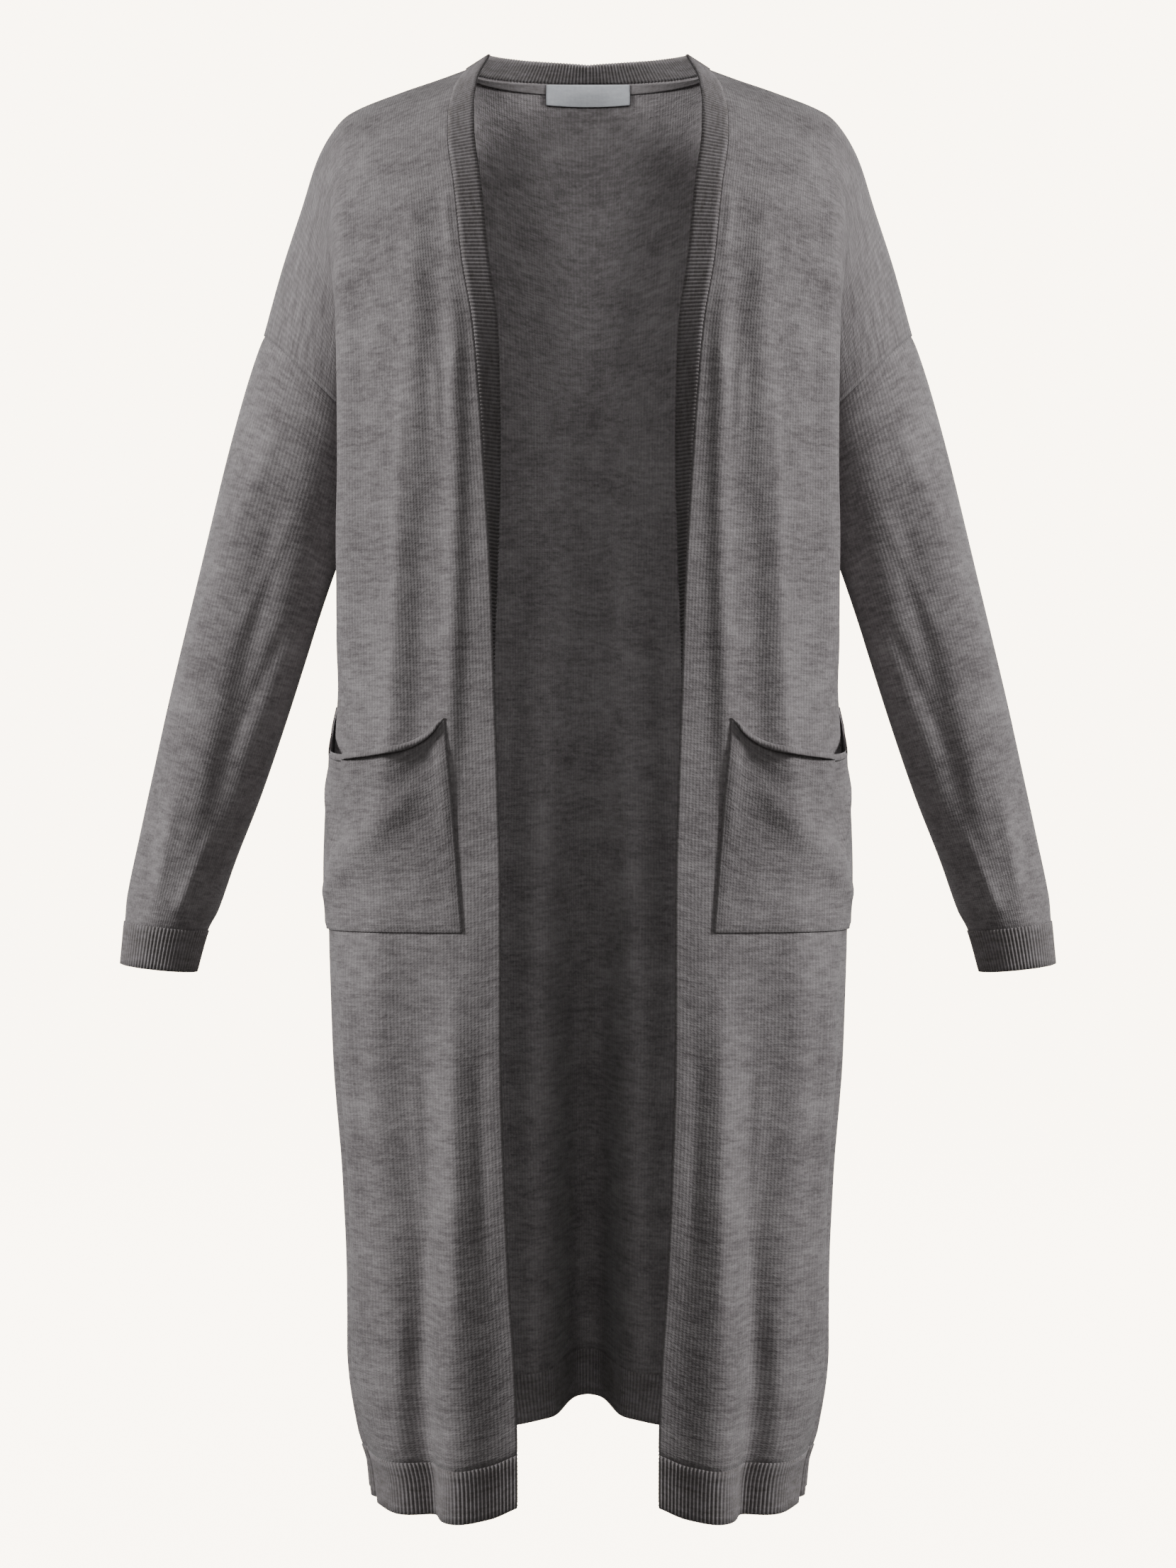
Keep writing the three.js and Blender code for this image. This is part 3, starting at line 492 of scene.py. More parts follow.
sample = body_point(-1, 1, np.array([0.5]), np.array([1.0]))[0]
print("The front's corner at the underarm's level, in mm:", sample.round(1))

# %% [markdown]
# A wall needs the way out of the cloth at each point. The cross product of the two slopes gives
# it. At a seam it is turned into the seam's own plane, so that both pieces end edge to edge.

# %% The way out of the cloth
def outward(surface, u, v, sense):
    """The way out of a surface: the cross product of its two slopes."""
    near = 1e-3
    along_u = surface(u + near, v) - surface(u - near, v)
    along_v = surface(u, v + near) - surface(u, v - near)
    return sense * unit(np.cross(along_u, along_v))


def panel_outward(face, side, signed_share, height):
    """The way out of a panel. At a seam it lies in the seam's plane, so that pieces meet."""
    inside = np.maximum(signed_share, 0.002) if face < 0 else signed_share
    way = outward(lambda u, v: body_point(face, side, u, v), inside, height, -face * side)
    share = np.abs(signed_share)
    on_shoulder = (height > 1.999) & ((share >= BACK_NECK_AT) | (face < 0))
    on_side = (share > 0.999) & (height <= 1)
    on_hem = height < rib_top(face, share) * 1.01
    way[..., 1] *= ~(on_shoulder | on_side)
    way[..., 2] *= ~on_hem
    return unit(way)


out = panel_outward(-1, 1, np.array([0.5]), np.array([1.0]))[0]
print("The way out of that corner:", out.round(2))

# %% [markdown]
# ## Walls
#
# Cloth has two faces and a thin edge. A Solidify modifier could give the thickness, but its rims
# are square and it knows nothing of ribs, so both skins are worked out here. The UV map is in
# metres of cloth, so that a pattern keeps its real scale.

# %% Grids, rims and meshes
def lengths(grid, axis):
    """Length along a grid from its first line, averaged over its other lines, in metres."""
    step = np.linalg.norm(np.diff(grid, axis=axis), axis=-1).mean(axis=1 - axis)
    return np.concatenate([[0], np.cumsum(step)]) / 1000


def quads(grid):
    """The four corners of each cell of a grid of indices or of UV places."""
    corners = [grid[:-1, :-1], grid[:-1, 1:], grid[1:, 1:], grid[1:, :-1]]
    cells = np.stack(corners, axis=2)
    return cells.reshape(-1, *cells.shape[2:])


def rim(outer, inner, beside):
    """The rounded line half way round an edge: between both skins, and a little past them."""
    return (outer + inner) / 2 + unit(outer - beside) * CLOTH * EDGE_ROUND


def add_mesh(name, places, faces, uvs):
    """A smooth mesh object from points in mm, turned so that its faces look outwards."""
    first, second, third = (places[faces[:, i]] for i in range(3))
    fourth = places[faces[:, 3]]
    volume = (first * np.cross(second, third) + first * np.cross(third, fourth)).sum()
    if volume < 0:
        faces, uvs = faces[:, ::-1], uvs[:, ::-1]
    mesh = bpy.data.meshes.new(name)
    mesh.from_pydata((places / 1000).tolist(), [], faces.tolist())
    mesh.polygons.foreach_set("use_smooth", np.ones(len(faces), bool))
    mesh.uv_layers.new(name="cloth").data.foreach_set("uv", np.ascontiguousarray(uvs).ravel())
    piece = bpy.data.objects.new(name, mesh)
    bpy.context.collection.objects.link(piece)
    return piece


cell = quads(np.arange(4).reshape(2, 2))
print("One cell of a grid joins the points", cell[0])

# %% [markdown]
# A wall is a grid of outer points, a grid of inner points, and a strip round each open edge. The
# strip has a middle line, pushed out a little, because a knitted edge is round.

# %% A closed wall
def wall(name, outer, inner, tube=False, ribbed=False):
    """A closed wall from its two skins, rows of points in mm. A tube closes across. On a ribbed
    wall the UV map counts whole ribs across, at the pitch that the rib material draws."""
    rows, columns = outer.shape[:2]
    closed = np.concatenate([outer, outer[:, :1]], axis=1) if tube else outer
    u, v = lengths(closed, 1), lengths(closed, 0)
    if ribbed:
        u = np.arange(len(u)) / COLUMNS_PER_RIB * RIB_PITCH / 1000
    uv = np.stack(np.meshgrid(u, v), axis=-1)
    grid = np.arange(rows * columns).reshape(rows, columns)
    if tube:
        grid = np.concatenate([grid, grid[:, :1]], axis=1)
    count = rows * columns
    places = [outer.reshape(-1, 3), inner.reshape(-1, 3)]
    patches = [(grid, uv), (grid[::-1] + count, uv[::-1])]
    ends = [(0, 1), (-1, -2)]
    total = 2 * count
    for row, beside in ends:
        middle = rim(outer[row], inner[row], outer[beside])
        line = total + np.arange(columns)
        line = np.append(line, line[0]) if tube else line
        ring = np.stack([grid[row], line, grid[row] + count])
        ring_uv = np.stack([uv[row]] * 3)
        patches.append((ring, ring_uv) if row else (ring[::-1], ring_uv))
        places.append(middle)
        total += columns
    if not tube:
        for column, beside in ends:
            middle = rim(outer[:, column], inner[:, column], outer[:, beside])
            line = total + np.arange(rows)
            line[[0, -1]] = 2 * count + np.array([0, columns]) + (columns - 1) * (column < 0)
            ring = np.stack([grid[:, column], line, grid[:, column] + count])
            ring_uv = np.stack([uv[:, column]] * 3)
            patches.append((ring[::-1], ring_uv) if column else (ring, ring_uv))
            places.append(middle)
            total += rows
    faces = np.concatenate([quads(index) for index, _ in patches])
    uvs = np.concatenate([quads(place) for _, place in patches])
    return add_mesh(name, np.concatenate(places), faces, uvs)


print("Walls are", CLOTH, "mm thick, with edges that stand out", CLOTH * EDGE_ROUND, "mm")

# %% [markdown]
# A rib is a column of knit that stands up beside one that sinks. A bump map would vanish at the
# edges, so the ribs are real waves. A piece has a whole number of them along its own length.

# %% Ribs
def even_places(line, count):
    """Places along a line, from 0 to 1, that cut it in even lengths."""
    gone = np.concatenate([[0], np.cumsum(np.linalg.norm(np.diff(line, axis=0), axis=1))])
    return np.interp(np.linspace(0, gone[-1], count), gone, np.linspace(0, 1, len(line))), gone[-1]


def rib_columns(line, pitch):
    """Places along a line for its ribs, and the height of the rib wave at each."""
    length = even_places(line, 2)[1]
    ribs = round(length / pitch)
    places = even_places(line, ribs * COLUMNS_PER_RIB + 1)[0]
    wave = 0.5 - 0.5 * np.cos(2 * np.pi * np.arange(len(places)) / COLUMNS_PER_RIB)
    return places, RIB_RISE * wave


print("A rib has", COLUMNS_PER_RIB, "columns over", RIB_PITCH, "mm")

# %% [markdown]
# ## Fronts, back and hem ribs
#
# A cardigan is knitted flat, in a back and two fronts, and joined at the shoulders and sides. The
# pieces stay apart here too. A grid of about 5 mm holds the creases, and the yarn does the rest.

# %% Fronts and back
FRONT_COLUMNS, BACK_COLUMNS = 100, 170
LOW_ROWS, HIGH_ROWS = 150, 90
SIDES = {"left": 1, "right": -1}


def panel(name, face, side, shares):
    """A front or the back, from the top of its hem rib to the shoulder."""
    rows = np.concatenate([np.linspace(0, 1, LOW_ROWS), np.linspace(1, 2, HIGH_ROWS)[1:]])
    share, row = np.meshgrid(shares, rows)
    height = np.where(row < 1, mix(rib_top(face, share), 1, row), row)
    outer = body_point(face, side, share, height)
    return wall(name, outer, outer - CLOTH * panel_outward(face, side, share, height))


pieces = {"back": panel("back_knit", 1, 1, np.linspace(-1, 1, BACK_COLUMNS))}
for word, side in SIDES.items():
    pieces[f"front_{word}"] = panel(f"front_{word}_knit", -1, side, np.linspace(0, 1, FRONT_COLUMNS))
print("Built", list(pieces))

# %% [markdown]
# The hem rib is knitted on below each panel, and is narrower than the cloth, so the panel blouses
# over it. It lies on the same surface, with its ribs added on both faces.

# %% Hem ribs
RIB_ROWS = 8
CURVE_STEPS = 400


def hem_rib(name, face, side, start, end):
    """The ribbed strip below a panel. Its ribs stand out on both faces, as a real rib's do."""
    curve = mix(start, end, np.linspace(0, 1, CURVE_STEPS))
    middle = body_point(face, side, curve, rib_top(face, curve) / 2)
    at, wave = rib_columns(middle, RIB_PITCH)
    share, row = np.meshgrid(mix(start, end, at), np.linspace(0, 1, RIB_ROWS))
    height = row * rib_top(face, share)
    way = panel_outward(face, side, share, height)
    place = body_point(face, side, share, height)
    outer = place + way * wave[None, :, None]
    inner = place - way * (CLOTH - RIB_RISE / 2 + wave[None, :, None] / 2)
    return wall(name, outer, inner, ribbed=True)


pieces["hem_rib_back"] = hem_rib("hem_rib_back_knit", 1, 1, -1, 1)
for word, side in SIDES.items():
    pieces[f"hem_rib_{word}"] = hem_rib(f"hem_rib_{word}_knit", -1, side, 0, 1)
print("The back's hem rib has", len(pieces["hem_rib_back"].data.vertices), "points")

# %% [markdown]
# ## Sleeves and cuffs
#
# A sleeve is knitted flat and closed into a tube. Here it is a tube from the start, because its
# seam doesn't show. It begins at the armhole with a small dip, as the seam draws the cloth in.

# %% Sleeves
SLEEVE_COLUMNS, SLEEVE_ROWS = 100, 150


def sleeve_grid(side, angle, run):
    """Points of a sleeve with its creases, and the way out of it."""
    def surface(u, v):
        return ring_point(v, u, folds=SLEEVE_FOLDS + SLEEVE_CREASES)

    place = surface(angle, run)
    way = outward(surface, angle, np.maximum(run, 0.01), -1)
    mirror = np.array([side, 1, 1])
    return place * mirror, way * mirror


def sleeve(name, side):
    """A sleeve, from the dropped armhole to its cuff."""
    angles = np.linspace(0, 360, SLEEVE_COLUMNS, endpoint=False)
    angle, run = np.meshgrid(angles, np.linspace(0, CUFF_RUN, SLEEVE_ROWS))
    place, way = sleeve_grid(side, angle, run)
    place = place - way * (SEAM_DIP * np.exp(-run / SEAM_REACH))[..., None]
    return wall(name, place, place - CLOTH * way, tube=True)


for word, side in SIDES.items():
    pieces[f"sleeve_{word}"] = sleeve(f"sleeve_{word}_knit", side)
print("A sleeve has", len(pieces["sleeve_left"].data.vertices), "points")

# %% [markdown]
# A cuff is ribbed so that it springs back on the wrist. It goes on along the sleeve's own rings,
# and has its finer ribs on both faces. A whole number of them closes the circle with no gap.

# %% Cuffs
def cuff(name, side):
    """A ribbed cuff, with a whole number of ribs round it."""
    circle = np.linspace(0, 360, CURVE_STEPS)
    middle = ring_point(np.full_like(circle, (CUFF_RUN + CUFF_END_RUN) / 2), circle)
    at, wave = rib_columns(middle, CUFF_RIB_PITCH)
    angle, run = np.meshgrid(360 * at[:-1], np.linspace(CUFF_RUN, CUFF_END_RUN, RIB_ROWS))
    place, way = sleeve_grid(side, angle, run)
    outer = place + way * wave[None, :-1, None]
    inner = place - way * (CLOTH - RIB_RISE / 2 + wave[None, :-1, None] / 2)
    return wall(name, outer, inner, tube=True, ribbed=True)


for word, side in SIDES.items():
    pieces[f"cuff_{word}"] = cuff(f"cuff_{word}_knit", side)
print("Built", len(pieces), "pieces of the body and sleeves")

# %% [markdown]
# ## Bands
#
# A ribbed band finishes the opening, all round from hem to hem. It is a strip that leaves the
# front's edge at an angle, which turns with height: flat round the neck, and edge on to the
# viewer from the waist down. So the band is a ruled surface: a seam, a way out and a width.

# %% Where a band starts, and which way it goes
BAND_ROWS = 7


def band_start(turn, out, beside):
    """How far a band starts from its seam, to clear the wall that it leaves."""
    past = np.maximum(0, -(turn * out).sum(axis=-1)) + np.maximum(0, beside)
    return CLOTH * past


def front_band_frame(height):
    """The front band's seam, the way the band leaves it and where it starts, by height."""
    edge = 0 * height
    seam = body_point(-1, 1, edge, height)
    level = seam[..., 2]
    middle, back, up = (reading(BAND_TURN, "z", name, level) for name in ("middle", "back", "up"))
    turn = unit(points(-middle, back, up))
    return seam, turn, band_start(turn, panel_outward(-1, 1, edge, height), turn[..., 0])


def neck_band_frame(along):
    """The same for the neck band, from the right shoulder at -1 to the left at 1."""
    top = np.full_like(along, 2.0)
    seam = body_point(1, 1, BACK_NECK_AT * along, top)
    part = np.abs(along)[..., None] * np.pi / 2
    turn = unit(BACK_BAND_TURN * np.cos(part) + front_band_frame(top)[1] * np.sin(part))
    turn[..., 0] *= np.sign(along)
    return seam, turn, band_start(turn, panel_outward(1, 1, BACK_NECK_AT * along, top), 0)


seam, turn, gap = front_band_frame(np.array([1.0]))
print("At the underarm's level the band starts", gap.round(2), "mm from its seam")

# %% [markdown]
# The band's ribs run across it, from the seam to its free edge, so the rib wave follows the
# seam's length. At the shoulder both bands end in one plane.

# %% The bands
def band(name, frame_at, side, sense, start, end):
    """A ribbed band along a seam: its ribs run across it, from the seam to its free edge."""
    curve = mix(start, end, np.linspace(0, 1, CURVE_STEPS))
    at, wave = rib_columns(frame_at(curve)[0], RIB_PITCH)

    def surface(across, along):
        seam, turn, begin = frame_at(along)
        return seam + turn * (begin + across * BAND_WIDTH)[..., None]

    along, across = np.meshgrid(mix(start, end, at), np.linspace(0, 1, BAND_ROWS))
    place = surface(across, along)
    way = outward(surface, across, along, sense)
    on_shoulder = (along == end) | ((along == start) & (side == 0))
    way[..., 1] *= ~on_shoulder
    way = unit(way)
    mirror = np.array([side or 1, 1, 1])
    outer = (place + way * wave[None, :, None]) * mirror
    inner = (place - way * (CLOTH - RIB_RISE / 2 + wave[None, :, None] / 2)) * mirror
    return wall(name, outer, inner, ribbed=True)


pieces["neck_band"] = band("neck_band_knit", neck_band_frame, 0, 1, -1.0, 1.0)
for word, side in SIDES.items():
    name = f"front_band_{word}"
    pieces[name] = band(f"{name}_knit", front_band_frame, side, -1, 0.0, 2.0)
ribs = rib_columns(front_band_frame(np.linspace(0, 2, CURVE_STEPS))[0], RIB_PITCH)[0]
print("A front band has", len(ribs) // COLUMNS_PER_RIB, "ribs")

# %% [markdown]
# ## Pockets
#
# A patch pocket is sewn down at its sides and floor. Its mouth bags open and droops, and its raw
# edge rolls outwards, as jersey does. The pocket is the front's own surface moved out, so it
# follows every fold below it. The roll is a turn of a small circle added past the mouth.

# %% Pockets
POCKET_COLUMNS, POCKET_ROWS, ROLL_ROWS = 90, 80, 14


def pocket_point(side, across, row, extra):
    """A point of the pocket. Row 0 is its floor, 1 its mouth, and 1 to 2 goes round the roll."""
    up = np.minimum(1, row)
    share = mix(mix(POCKET_IN_FOOT, POCKET_IN_TOP, up), POCKET_OUT, across)
    z = mix(POCKET_FLOOR_Z, reading(POCKET_MOUTH, "at", "z", across), up)
    hem = hem_z(-1, share)
    height = (z - hem) / (UNDERARM_Z - hem)
    way = panel_outward(-1, side, share, height)
    bag = reading(POCKET_MOUTH, "at", "bag", across) * up ** POCKET_BAG_CURVE
    edge = np.minimum(np.minimum(across, 1 - across) * POCKET_WIDE, row * POCKET_TALL)
    sewn = smooth(edge / POCKET_HUG)
    calm = sewn * smooth((1 - row) / POCKET_CALM)
    lift = mix(POCKET_SEWN, POCKET_CLEAR, sewn) + calm * fold_height(POCKET_CREASES, across, row)
    place = body_point(-1, side, share, height) + way * (lift + extra)[..., None]
    place = place + FRONTWARDS * bag[..., None]
    turn = np.radians(ROLL_TURN * np.maximum(0, row - 1))
    full = smooth(across / ROLL_IN_END) * smooth((1 - across) / ROLL_OUT_END)
    radius = (ROLL_RADIUS - extra) * mix(ROLL_TAPER, 1, full)
    place = place + FRONTWARDS * (radius * (1 - np.cos(turn)))[..., None]
    place[..., 2] += radius * np.sin(turn)
    return place


def pocket(name, side):
    """A patch pocket, from its floor to the end of its rolled edge."""
    rows = np.concatenate([np.linspace(0, 1, POCKET_ROWS), np.linspace(1, 2, ROLL_ROWS)[1:]])
    across, row = np.meshgrid(np.linspace(0, 1, POCKET_COLUMNS), rows)
    outer, inner = (pocket_point(side, across, row, extra) for extra in (CLOTH, 0))
    return wall(name, outer, inner)


for word, side in SIDES.items():
    pieces[f"pocket_{word}"] = pocket(f"pocket_{word}_knit", side)
print("A pocket has", len(pieces["pocket_left"].data.vertices), "points")

# %% [markdown]
# ## Neck tape and label
#
# A narrow tape covers the seam inside the back neck, and a woven label hangs on it. Both lie on
# the inside of the back, so they are its surface moved in. The label is left bare.

# %% Neck tape and label
def inside_patch(name, half_share, drop, clear, thick, columns, rows):
    """A patch on the inside of the back, hanging from the neck seam."""
    share, down = np.meshgrid(np.linspace(-half_share, half_share, columns), np.linspace(0, 1, rows))
    height = NECK_SEAM_ROW - down * drop
    way = panel_outward(1, 1, share, height)
    place = body_point(1, 1, share, height) - way * (CLOTH + clear)
    return wall(name, place, place - way * thick)


pieces["neck_tape"] = inside_patch(
    "neck_tape_knit", NECK_TAPE_SHARE, NECK_TAPE_DROP, SEAM_GAP, TAPE, columns=120, rows=8
)
pieces["label"] = inside_patch(
    "label_cloth", LABEL_SHARE, LABEL_DROP, TAPE + 2 * SEAM_GAP, LABEL_THICK, columns=60, rows=24
)
print("Built", len(pieces), "pieces in all")

# %% [markdown]
# ## Materials
#
# A material starts from the real finish. Colours are written as on a screen, in sRGB, and a
# shader takes linear light, so one function turns them. Another adds a node with its settings
# and its links, which keeps a node tree as short to read as a recipe.

# %% Colours and nodes
def linear(colour):
    """An sRGB hex colour as the linear colour that a shader takes."""
    parts = np.array([int(colour[i:i + 2], 16) for i in (1, 3, 5)]) / 255
    return (*np.where(parts > 0.04045, ((parts + 0.055) / 1.055) ** 2.4, parts / 12.92), 1)


def add(tree, kind, settings, inputs):
    """A node with its settings. An input is a value, or the socket that it is linked from."""
    node = tree.nodes.new(kind)
    for name, value in settings.items():
        setattr(node, name, value)
    for name, value in inputs.items():
        if isinstance(value, bpy.types.NodeSocket):
            tree.links.new(value, node.inputs[name])
        else:
            node.inputs[name].default_value = value
    return node


print("Middle grey in linear light:", round(float(linear("#808080")[0]), 3))

# %% [markdown]
# Melange yarn is spun from dark and light fibres that aren't fully mixed. It gives the eye short
# dark and light streaks along the courses, which run across the cloth. Noise stretched to the
# size of each kind of streak draws them. The wales and courses are sums on the UV map, in metres.
# A photograph of cloth would repeat and bring its own light, so there is none. Between the wales
# the colour is darkened, as painted shade.

# %% Melange knit
# Size across and along the cloth in metres, and detail
STREAKS = {
    "cloud": ((0.06, 0.035), 2),
    "slub": ((0.014, 0.0034), 3),
    "fibre": ((0.0024, 0.0018), 2),
    "ladder": ((0.002, 0.011), 1),
}
# Painted shade: the colour that the knit is darkened towards between its wales
SHADE = "#2b282a"
DARK_AT, LIGHT_AT = 0.36, 0.64
STREAK_ROUGHNESS = 0.6


def knit_sums(wale, groove_shade, course):
    """The sums of a knit: a result, what is done, and its values or the results before it.
    A wale is a cosine across, and a course is a sine along that leans to both sides of a wale."""
    return [
        ("large", "MULTIPLY_ADD", "slub", 1.5, "cloud"),
        ("fine", "MULTIPLY_ADD", "ladder", 0.5, "fibre"),
        ("both", "ADD", "large", "fine", 0),
        ("mixture", "MULTIPLY", "both", 0.25, 0),
        ("column", "MULTIPLY", "across", 2 * np.pi / wale, 0),
        ("wave", "COSINE", "column", 0, 0),
        # Painted shade: the share by which the colour darkens between the wales
        ("shade_between_wales", "MULTIPLY_ADD", "wave", groove_shade / 2, groove_shade / 2),
        ("row", "MULTIPLY", "along", 2 * np.pi / course, 0),
        ("half", "MULTIPLY", "column", 0.5, 0),
        ("swing", "SINE", "half", 0, 0),
        ("slant", "ABSOLUTE", "swing", 0, 0),
        ("leaning", "MULTIPLY_ADD", "slant", 2.4, "row"),
        ("chevron", "SINE", "leaning", 0, 0),
        ("ridge", "MULTIPLY", "wave", -0.22, 0),
        ("loops", "MULTIPLY_ADD", "chevron", 0.14, "ridge"),
        ("slubbed", "MULTIPLY_ADD", "slub", 1.6, "loops"),
        ("relief", "MULTIPLY_ADD", "fibre", 1.2, "slubbed"),
    ]


def knit(name, dark, light, wale, groove_shade, course, depth, sheen):
    """Melange knit: colour from streaks of four sizes, with painted shade that darkens it between
    its wales, and bump from its wales and courses. Lengths are in metres."""
    material = bpy.data.materials.new(name)
    material.use_nodes = True
    tree = material.node_tree
    uv = add(tree, "ShaderNodeUVMap", {"uv_map": "cloth"}, {}).outputs[0]
    made = dict(zip(("across", "along"), add(tree, "ShaderNodeSeparateXYZ", {}, {0: uv}).outputs))
    for streak, (size, detail) in STREAKS.items():
        scale = (1 / size[0], 1 / size[1], 1)
        place = add(tree, "ShaderNodeMapping", {}, {"Vector": uv, "Scale": scale}).outputs[0]
        noise = {"Vector": place, "Scale": 1, "Detail": detail, "Roughness": STREAK_ROUGHNESS}
        made[streak] = add(tree, "ShaderNodeTexNoise", {"noise_dimensions": "2D"}, noise).outputs[0]
    for result, operation, *values in knit_sums(wale, groove_shade, course):
        inputs = {place: made.get(value, value) for place, value in enumerate(values)}
        made[result] = add(tree, "ShaderNodeMath", {"operation": operation}, inputs).outputs[0]

    spread = {0: made["mixture"], 1: DARK_AT, 2: LIGHT_AT, 3: 0, 4: 1}
    share = add(tree, "ShaderNodeMapRange", {}, spread).outputs[0]
    fibres = {0: share, 6: linear(dark), 7: linear(light)}
    yarn = add(tree, "ShaderNodeMix", {"data_type": "RGBA"}, fibres).outputs[2]
    # Painted shade: the yarn's colour is darkened between the wales
    shaded = {0: made["shade_between_wales"], 6: yarn, 7: linear(SHADE)}
    colour = add(tree, "ShaderNodeMix", {"data_type": "RGBA"}, shaded).outputs[2]
    relief = {"Height": made["relief"], "Strength": 1, "Distance": depth}
    bump = add(tree, "ShaderNodeBump", {}, relief).outputs[0]

    shader = tree.nodes["Principled BSDF"]
    tree.links.new(colour, shader.inputs["Base Color"])
    tree.links.new(bump, shader.inputs["Normal"])
    shader.inputs["Roughness"].default_value = 0.88
    shader.inputs["Specular IOR Level"].default_value = 0.25
    shader.inputs["Sheen Weight"].default_value = sheen
    shader.inputs["Sheen Roughness"].default_value = 0.45
    return material


print("Streaks of the yarn:", list(STREAKS))

# %% [markdown]
# Jersey, rib, tape and label are one recipe with other sizes. Jersey is soft and a little fuzzy,
# which shows as sheen. A rib's grooves are deep, with painted shade in them. The tape is knitted
# finer, and the label is a close weave, drawn only 0.6 mm apart. The jersey's wales are drawn
# 2.4 mm apart, about half as wide again as the real ones, so that a picture of the whole garment
# still shows them.

# %% The four cloths
# Each cloth has its own share of painted shade between its wales
JERSEY = knit("melange jersey", "#6f6a6b", "#9f9a9b",
              wale=0.0024, groove_shade=0.16, course=0.0018, depth=0.00022, sheen=0.2)
RIB = knit("melange rib", "#76716f", "#9d989a",
           wale=RIB_PITCH / 1000, groove_shade=0.42, course=0.0018, depth=0.00012, sheen=0.15)
NECK_TAPE = knit("knitted tape", "#6f6a6a", "#8f8b8c",
                 wale=0.0012, groove_shade=0.1, course=0.0014, depth=0.0001, sheen=0.1)
LABEL = knit("bare woven label", "#bfc2c8", "#d3d6da",
             wale=0.0006, groove_shade=0.05, course=0.0006, depth=0.00005, sheen=0.05)
SLOTS = {
    "jersey": (JERSEY, ["back", "front_left", "front_right", "sleeve_left", "sleeve_right",
                        "pocket_left", "pocket_right"]),
    "rib": (RIB, ["hem_rib_back", "hem_rib_left", "hem_rib_right", "cuff_left", "cuff_right",
                  "front_band_left", "front_band_right", "neck_band"]),
    "tape": (NECK_TAPE, ["neck_tape"]),
    "label": (LABEL, ["label"]),
}
for material, names in SLOTS.values():
    for name in names:
        pieces[name].data.materials.append(material)
print("Materials:", [material.name for material, _ in SLOTS.values()])

# %% [markdown]
# ## Cut sizes, and what each piece stands for
#
# Every piece is a sheet of cloth, cut or knitted flat before it was sewn. A cut is its width and
# length in metres, its area where it isn't a rectangle, and the piece that it is sewn to. A
# sleeve and a cuff go all round. Each piece's own solid of the frame is hidden here.

Cut = namedtuple("Cut", "width length area sewn_to")
CUTS = {
    "back": Cut(0.66, 1.12, 0.61, None),
    "front": Cut(0.27, 1.12, 0.235, "back"),
    "sleeve": Cut(0.38, 0.45, 0.132, "front"),
    "cuff": Cut(0.2, 0.035, None, "sleeve"),
    "hem_rib_back": Cut(0.72, 0.04, None, "back"),
    "hem_rib": Cut(0.25, 0.04, None, "front"),
    "front_band": Cut(1.16, 0.022, None, "front"),
    "neck_band": Cut(0.24, 0.022, None, "back"),
    "neck_tape": Cut(0.2, 0.01, None, "back"),
    "label": Cut(0.07, 0.018, None, "neck_tape"),
    "pocket": Cut(0.165, 0.16, None, "front"),
}


def cloth_area(piece):
    """Half of a closed wall's surface, in square metres."""
    area = np.zeros(len(piece.data.polygons))
    piece.data.polygons.foreach_get("area", area)
    return float(area.sum()) / 2


for node, piece in pieces.items():
    stem = node.removesuffix("_left").removesuffix("_right")
    cut = CUTS[stem]
    word = node.removeprefix(stem)
    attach(piece, "root")
    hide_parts(node)
    print(f"{node:18s} {cloth_area(piece):.4f} m2, cut {cut.width} by {cut.length} m")

# %% [markdown]
# ## Studio
#
# A product photograph has no horizon. A floor that curves up all round gives that: a bowl, as a
# profile turned round the middle. It shines by itself, so that it is as pale as the photograph's
# ground, but only the camera sees it, or it would light the cloth flat from all sides.

# %% Floor
FLOOR_Z = -1.3
BOWL_CENTRE, BOWL_RADIUS, BOWL_CURVE, BOWL_HEIGHT = 0.0005, 3.4, 1.2, 4.0
BOWL_ARC_STEPS, BOWL_TURN_STEPS = 12, 96
BOWL_GLOW = 9

turn = np.linspace(0, np.pi / 2, BOWL_ARC_STEPS)
arc = BOWL_RADIUS + BOWL_CURVE * np.sin(turn)
radius = np.concatenate([[BOWL_CENTRE], arc, arc[-1:]])
height = np.concatenate([[0], BOWL_CURVE * (1 - np.cos(turn)), [BOWL_HEIGHT]]) + FLOOR_Z
angle = np.linspace(0, 2 * np.pi, BOWL_TURN_STEPS, endpoint=False)
bowl = points(radius[:, None] * np.cos(angle), radius[:, None] * np.sin(angle), height[:, None])
index = np.arange(len(radius) * len(angle)).reshape(len(radius), -1)
index = np.concatenate([index, index[:, :1]], axis=1)
mesh = bpy.data.meshes.new("studio_floor")
mesh.from_pydata(bowl.reshape(-1, 3).tolist(), [], quads(index).tolist())
mesh.polygons.foreach_set("use_smooth", np.ones(len(mesh.polygons), bool))
floor = bpy.data.objects.new("studio_floor", mesh)
bpy.context.collection.objects.link(floor)
paper = bpy.data.materials.new("studio paper")
paper.use_nodes = True
shader = paper.node_tree.nodes["Principled BSDF"]
shader.inputs["Base Color"].default_value = linear("#efece6")
shader.inputs["Roughness"].default_value = 0.9
shader.inputs["Specular IOR Level"].default_value = 0.1
shader.inputs["Emission Color"].default_value = linear("#fff1da")
shader.inputs["Emission Strength"].default_value = BOWL_GLOW
mesh.materials.append(paper)
floor.visible_diffuse = floor.visible_glossy = floor.visible_shadow = False
print("The floor lies", -FLOOR_Z, "m below the top of the neck")

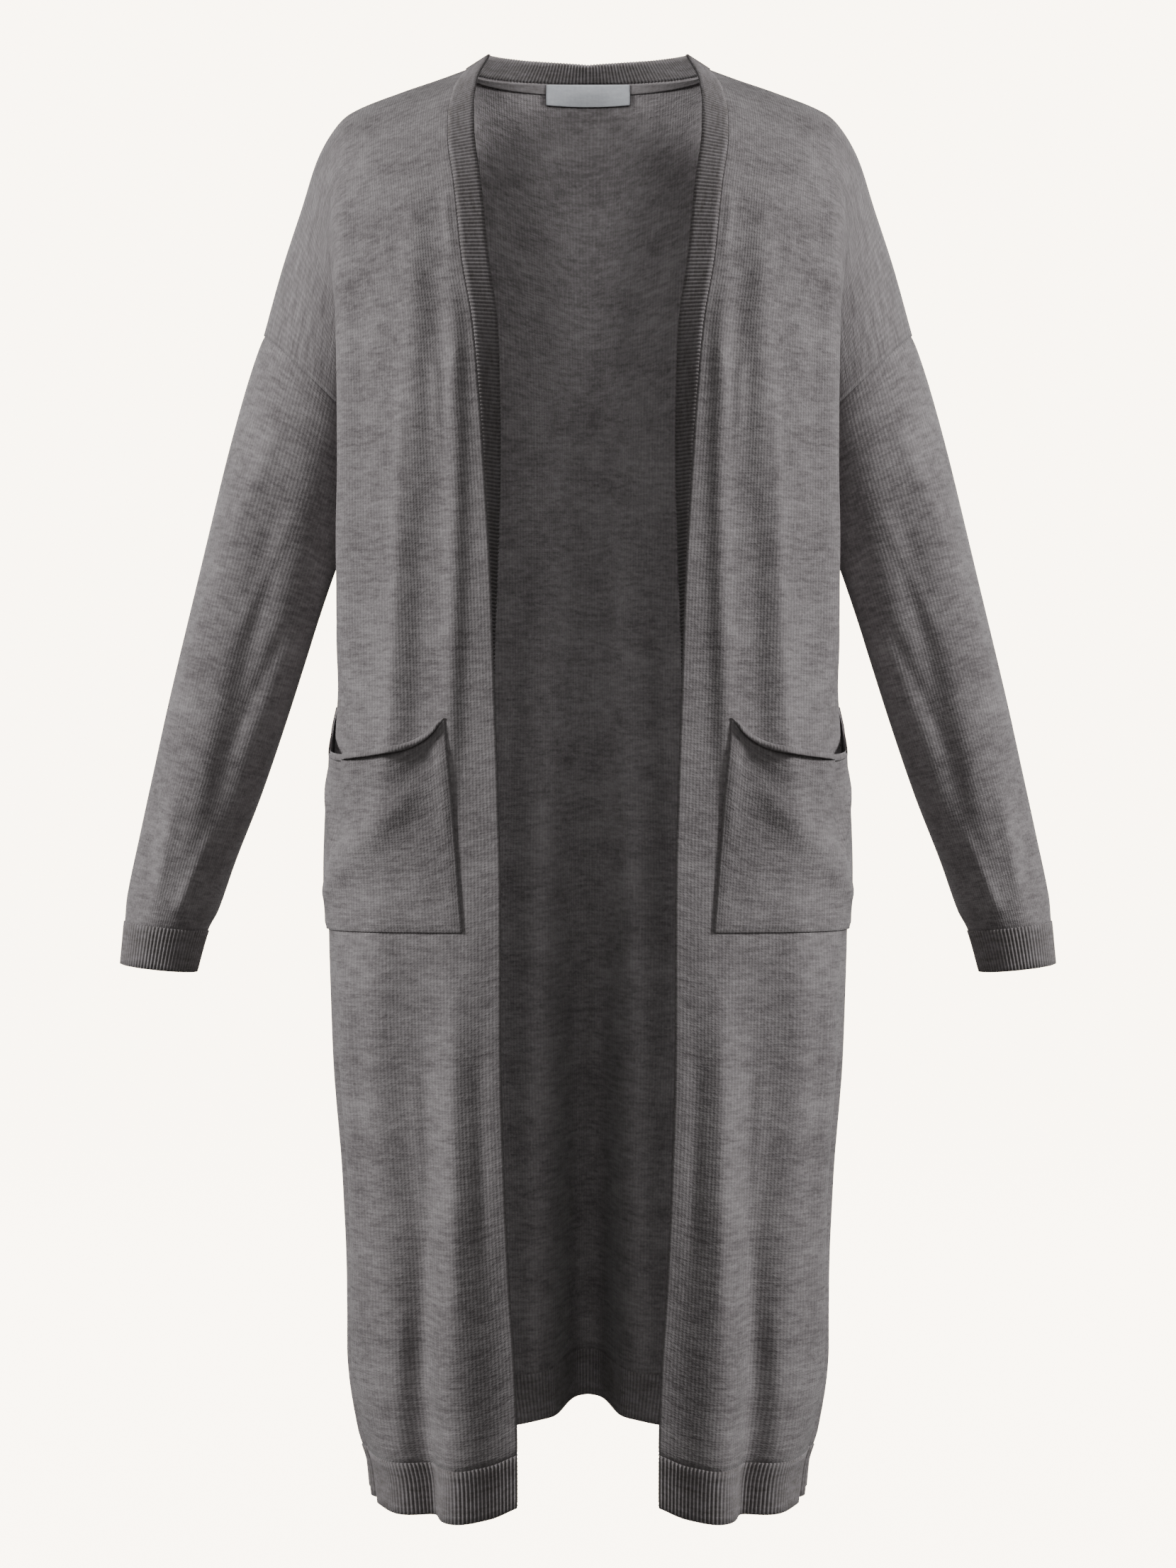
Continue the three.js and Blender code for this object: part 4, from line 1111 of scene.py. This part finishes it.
# %% [markdown]
# The photograph is one half mirrored, so its light comes from the outer side of both halves. Two
# key lights would cross and fill each other's shadows, so each is kept to the pieces of its own
# half and of the middle. Weaker lights fill the inside and the back.

# %% Lights
CAMERA_DISTANCE, CAMERA_Z = 2.2, -0.567


def area_light(name, place, size, watts, lit=()):
    """A soft square light that looks at the middle of the garment, kept to pieces if named."""
    data = bpy.data.lights.new(name, "AREA")
    data.shape, data.size, data.energy = "SQUARE", size, watts
    lamp = bpy.data.objects.new(name, data)
    lamp.location = place
    aim = Vector((0, 0, CAMERA_Z)) - Vector(place)
    lamp.rotation_euler = aim.to_track_quat("-Z", "Y").to_euler()
    lamp.visible_camera = False
    bpy.context.collection.objects.link(lamp)
    if lit:
        group = bpy.data.collections.new(f"lit by {name}")
        for piece in lit:
            group.objects.link(piece)
        lamp.light_linking.receiver_collection = group


middle = [piece for node, piece in pieces.items() if not node.endswith(tuple(SIDES))]
for word, side in SIDES.items():
    half = [piece for node, piece in pieces.items() if node.endswith(word)]
    area_light(f"key_{word}", (side * 2.75, -1.45, 0.7), 0.7, 100, half + middle)
    area_light(f"rear_{word}", (side * 1.6, 2.4, 0.6), 1.4, 30)
    area_light(f"middle_{word}", (side * 0.9, -2.4, 0.6), 0.5, 12, middle)
area_light("fill", (0, -2.8, 0.5), 1.2, 13)

world = bpy.data.worlds.new("studio air")
bpy.context.scene.world = world
world.use_nodes = True
air = world.node_tree.nodes["Background"]
air.inputs["Color"].default_value = linear("#faf7f2")
air.inputs["Strength"].default_value = 0.08

# %% [markdown]
# The camera stands level with the middle of the garment, 2.2 m in front of it. Its lens is worked
# out so that the picture is as tall, in real size at the shoulders, as the photograph.

# %% Camera
PICTURE_TALL, PIXEL = 2212, 0.00055
SENSOR = 36

data = bpy.data.cameras.new("camera")
data.sensor_width = SENSOR
data.lens = SENSOR * CAMERA_DISTANCE / (PICTURE_TALL * PIXEL)
camera = bpy.data.objects.new("camera", data)
camera.location = (0, -CAMERA_DISTANCE, CAMERA_Z)
camera.rotation_euler = (np.pi / 2, 0, 0)
bpy.context.collection.objects.link(camera)
bpy.context.scene.camera = camera
print("Lens of", round(data.lens, 1), "mm at", CAMERA_DISTANCE, "m")

# %% [markdown]
# ## Size and finish
#
# The looks must stay at the solids' own size.

# %% Finish
print("Scene built")
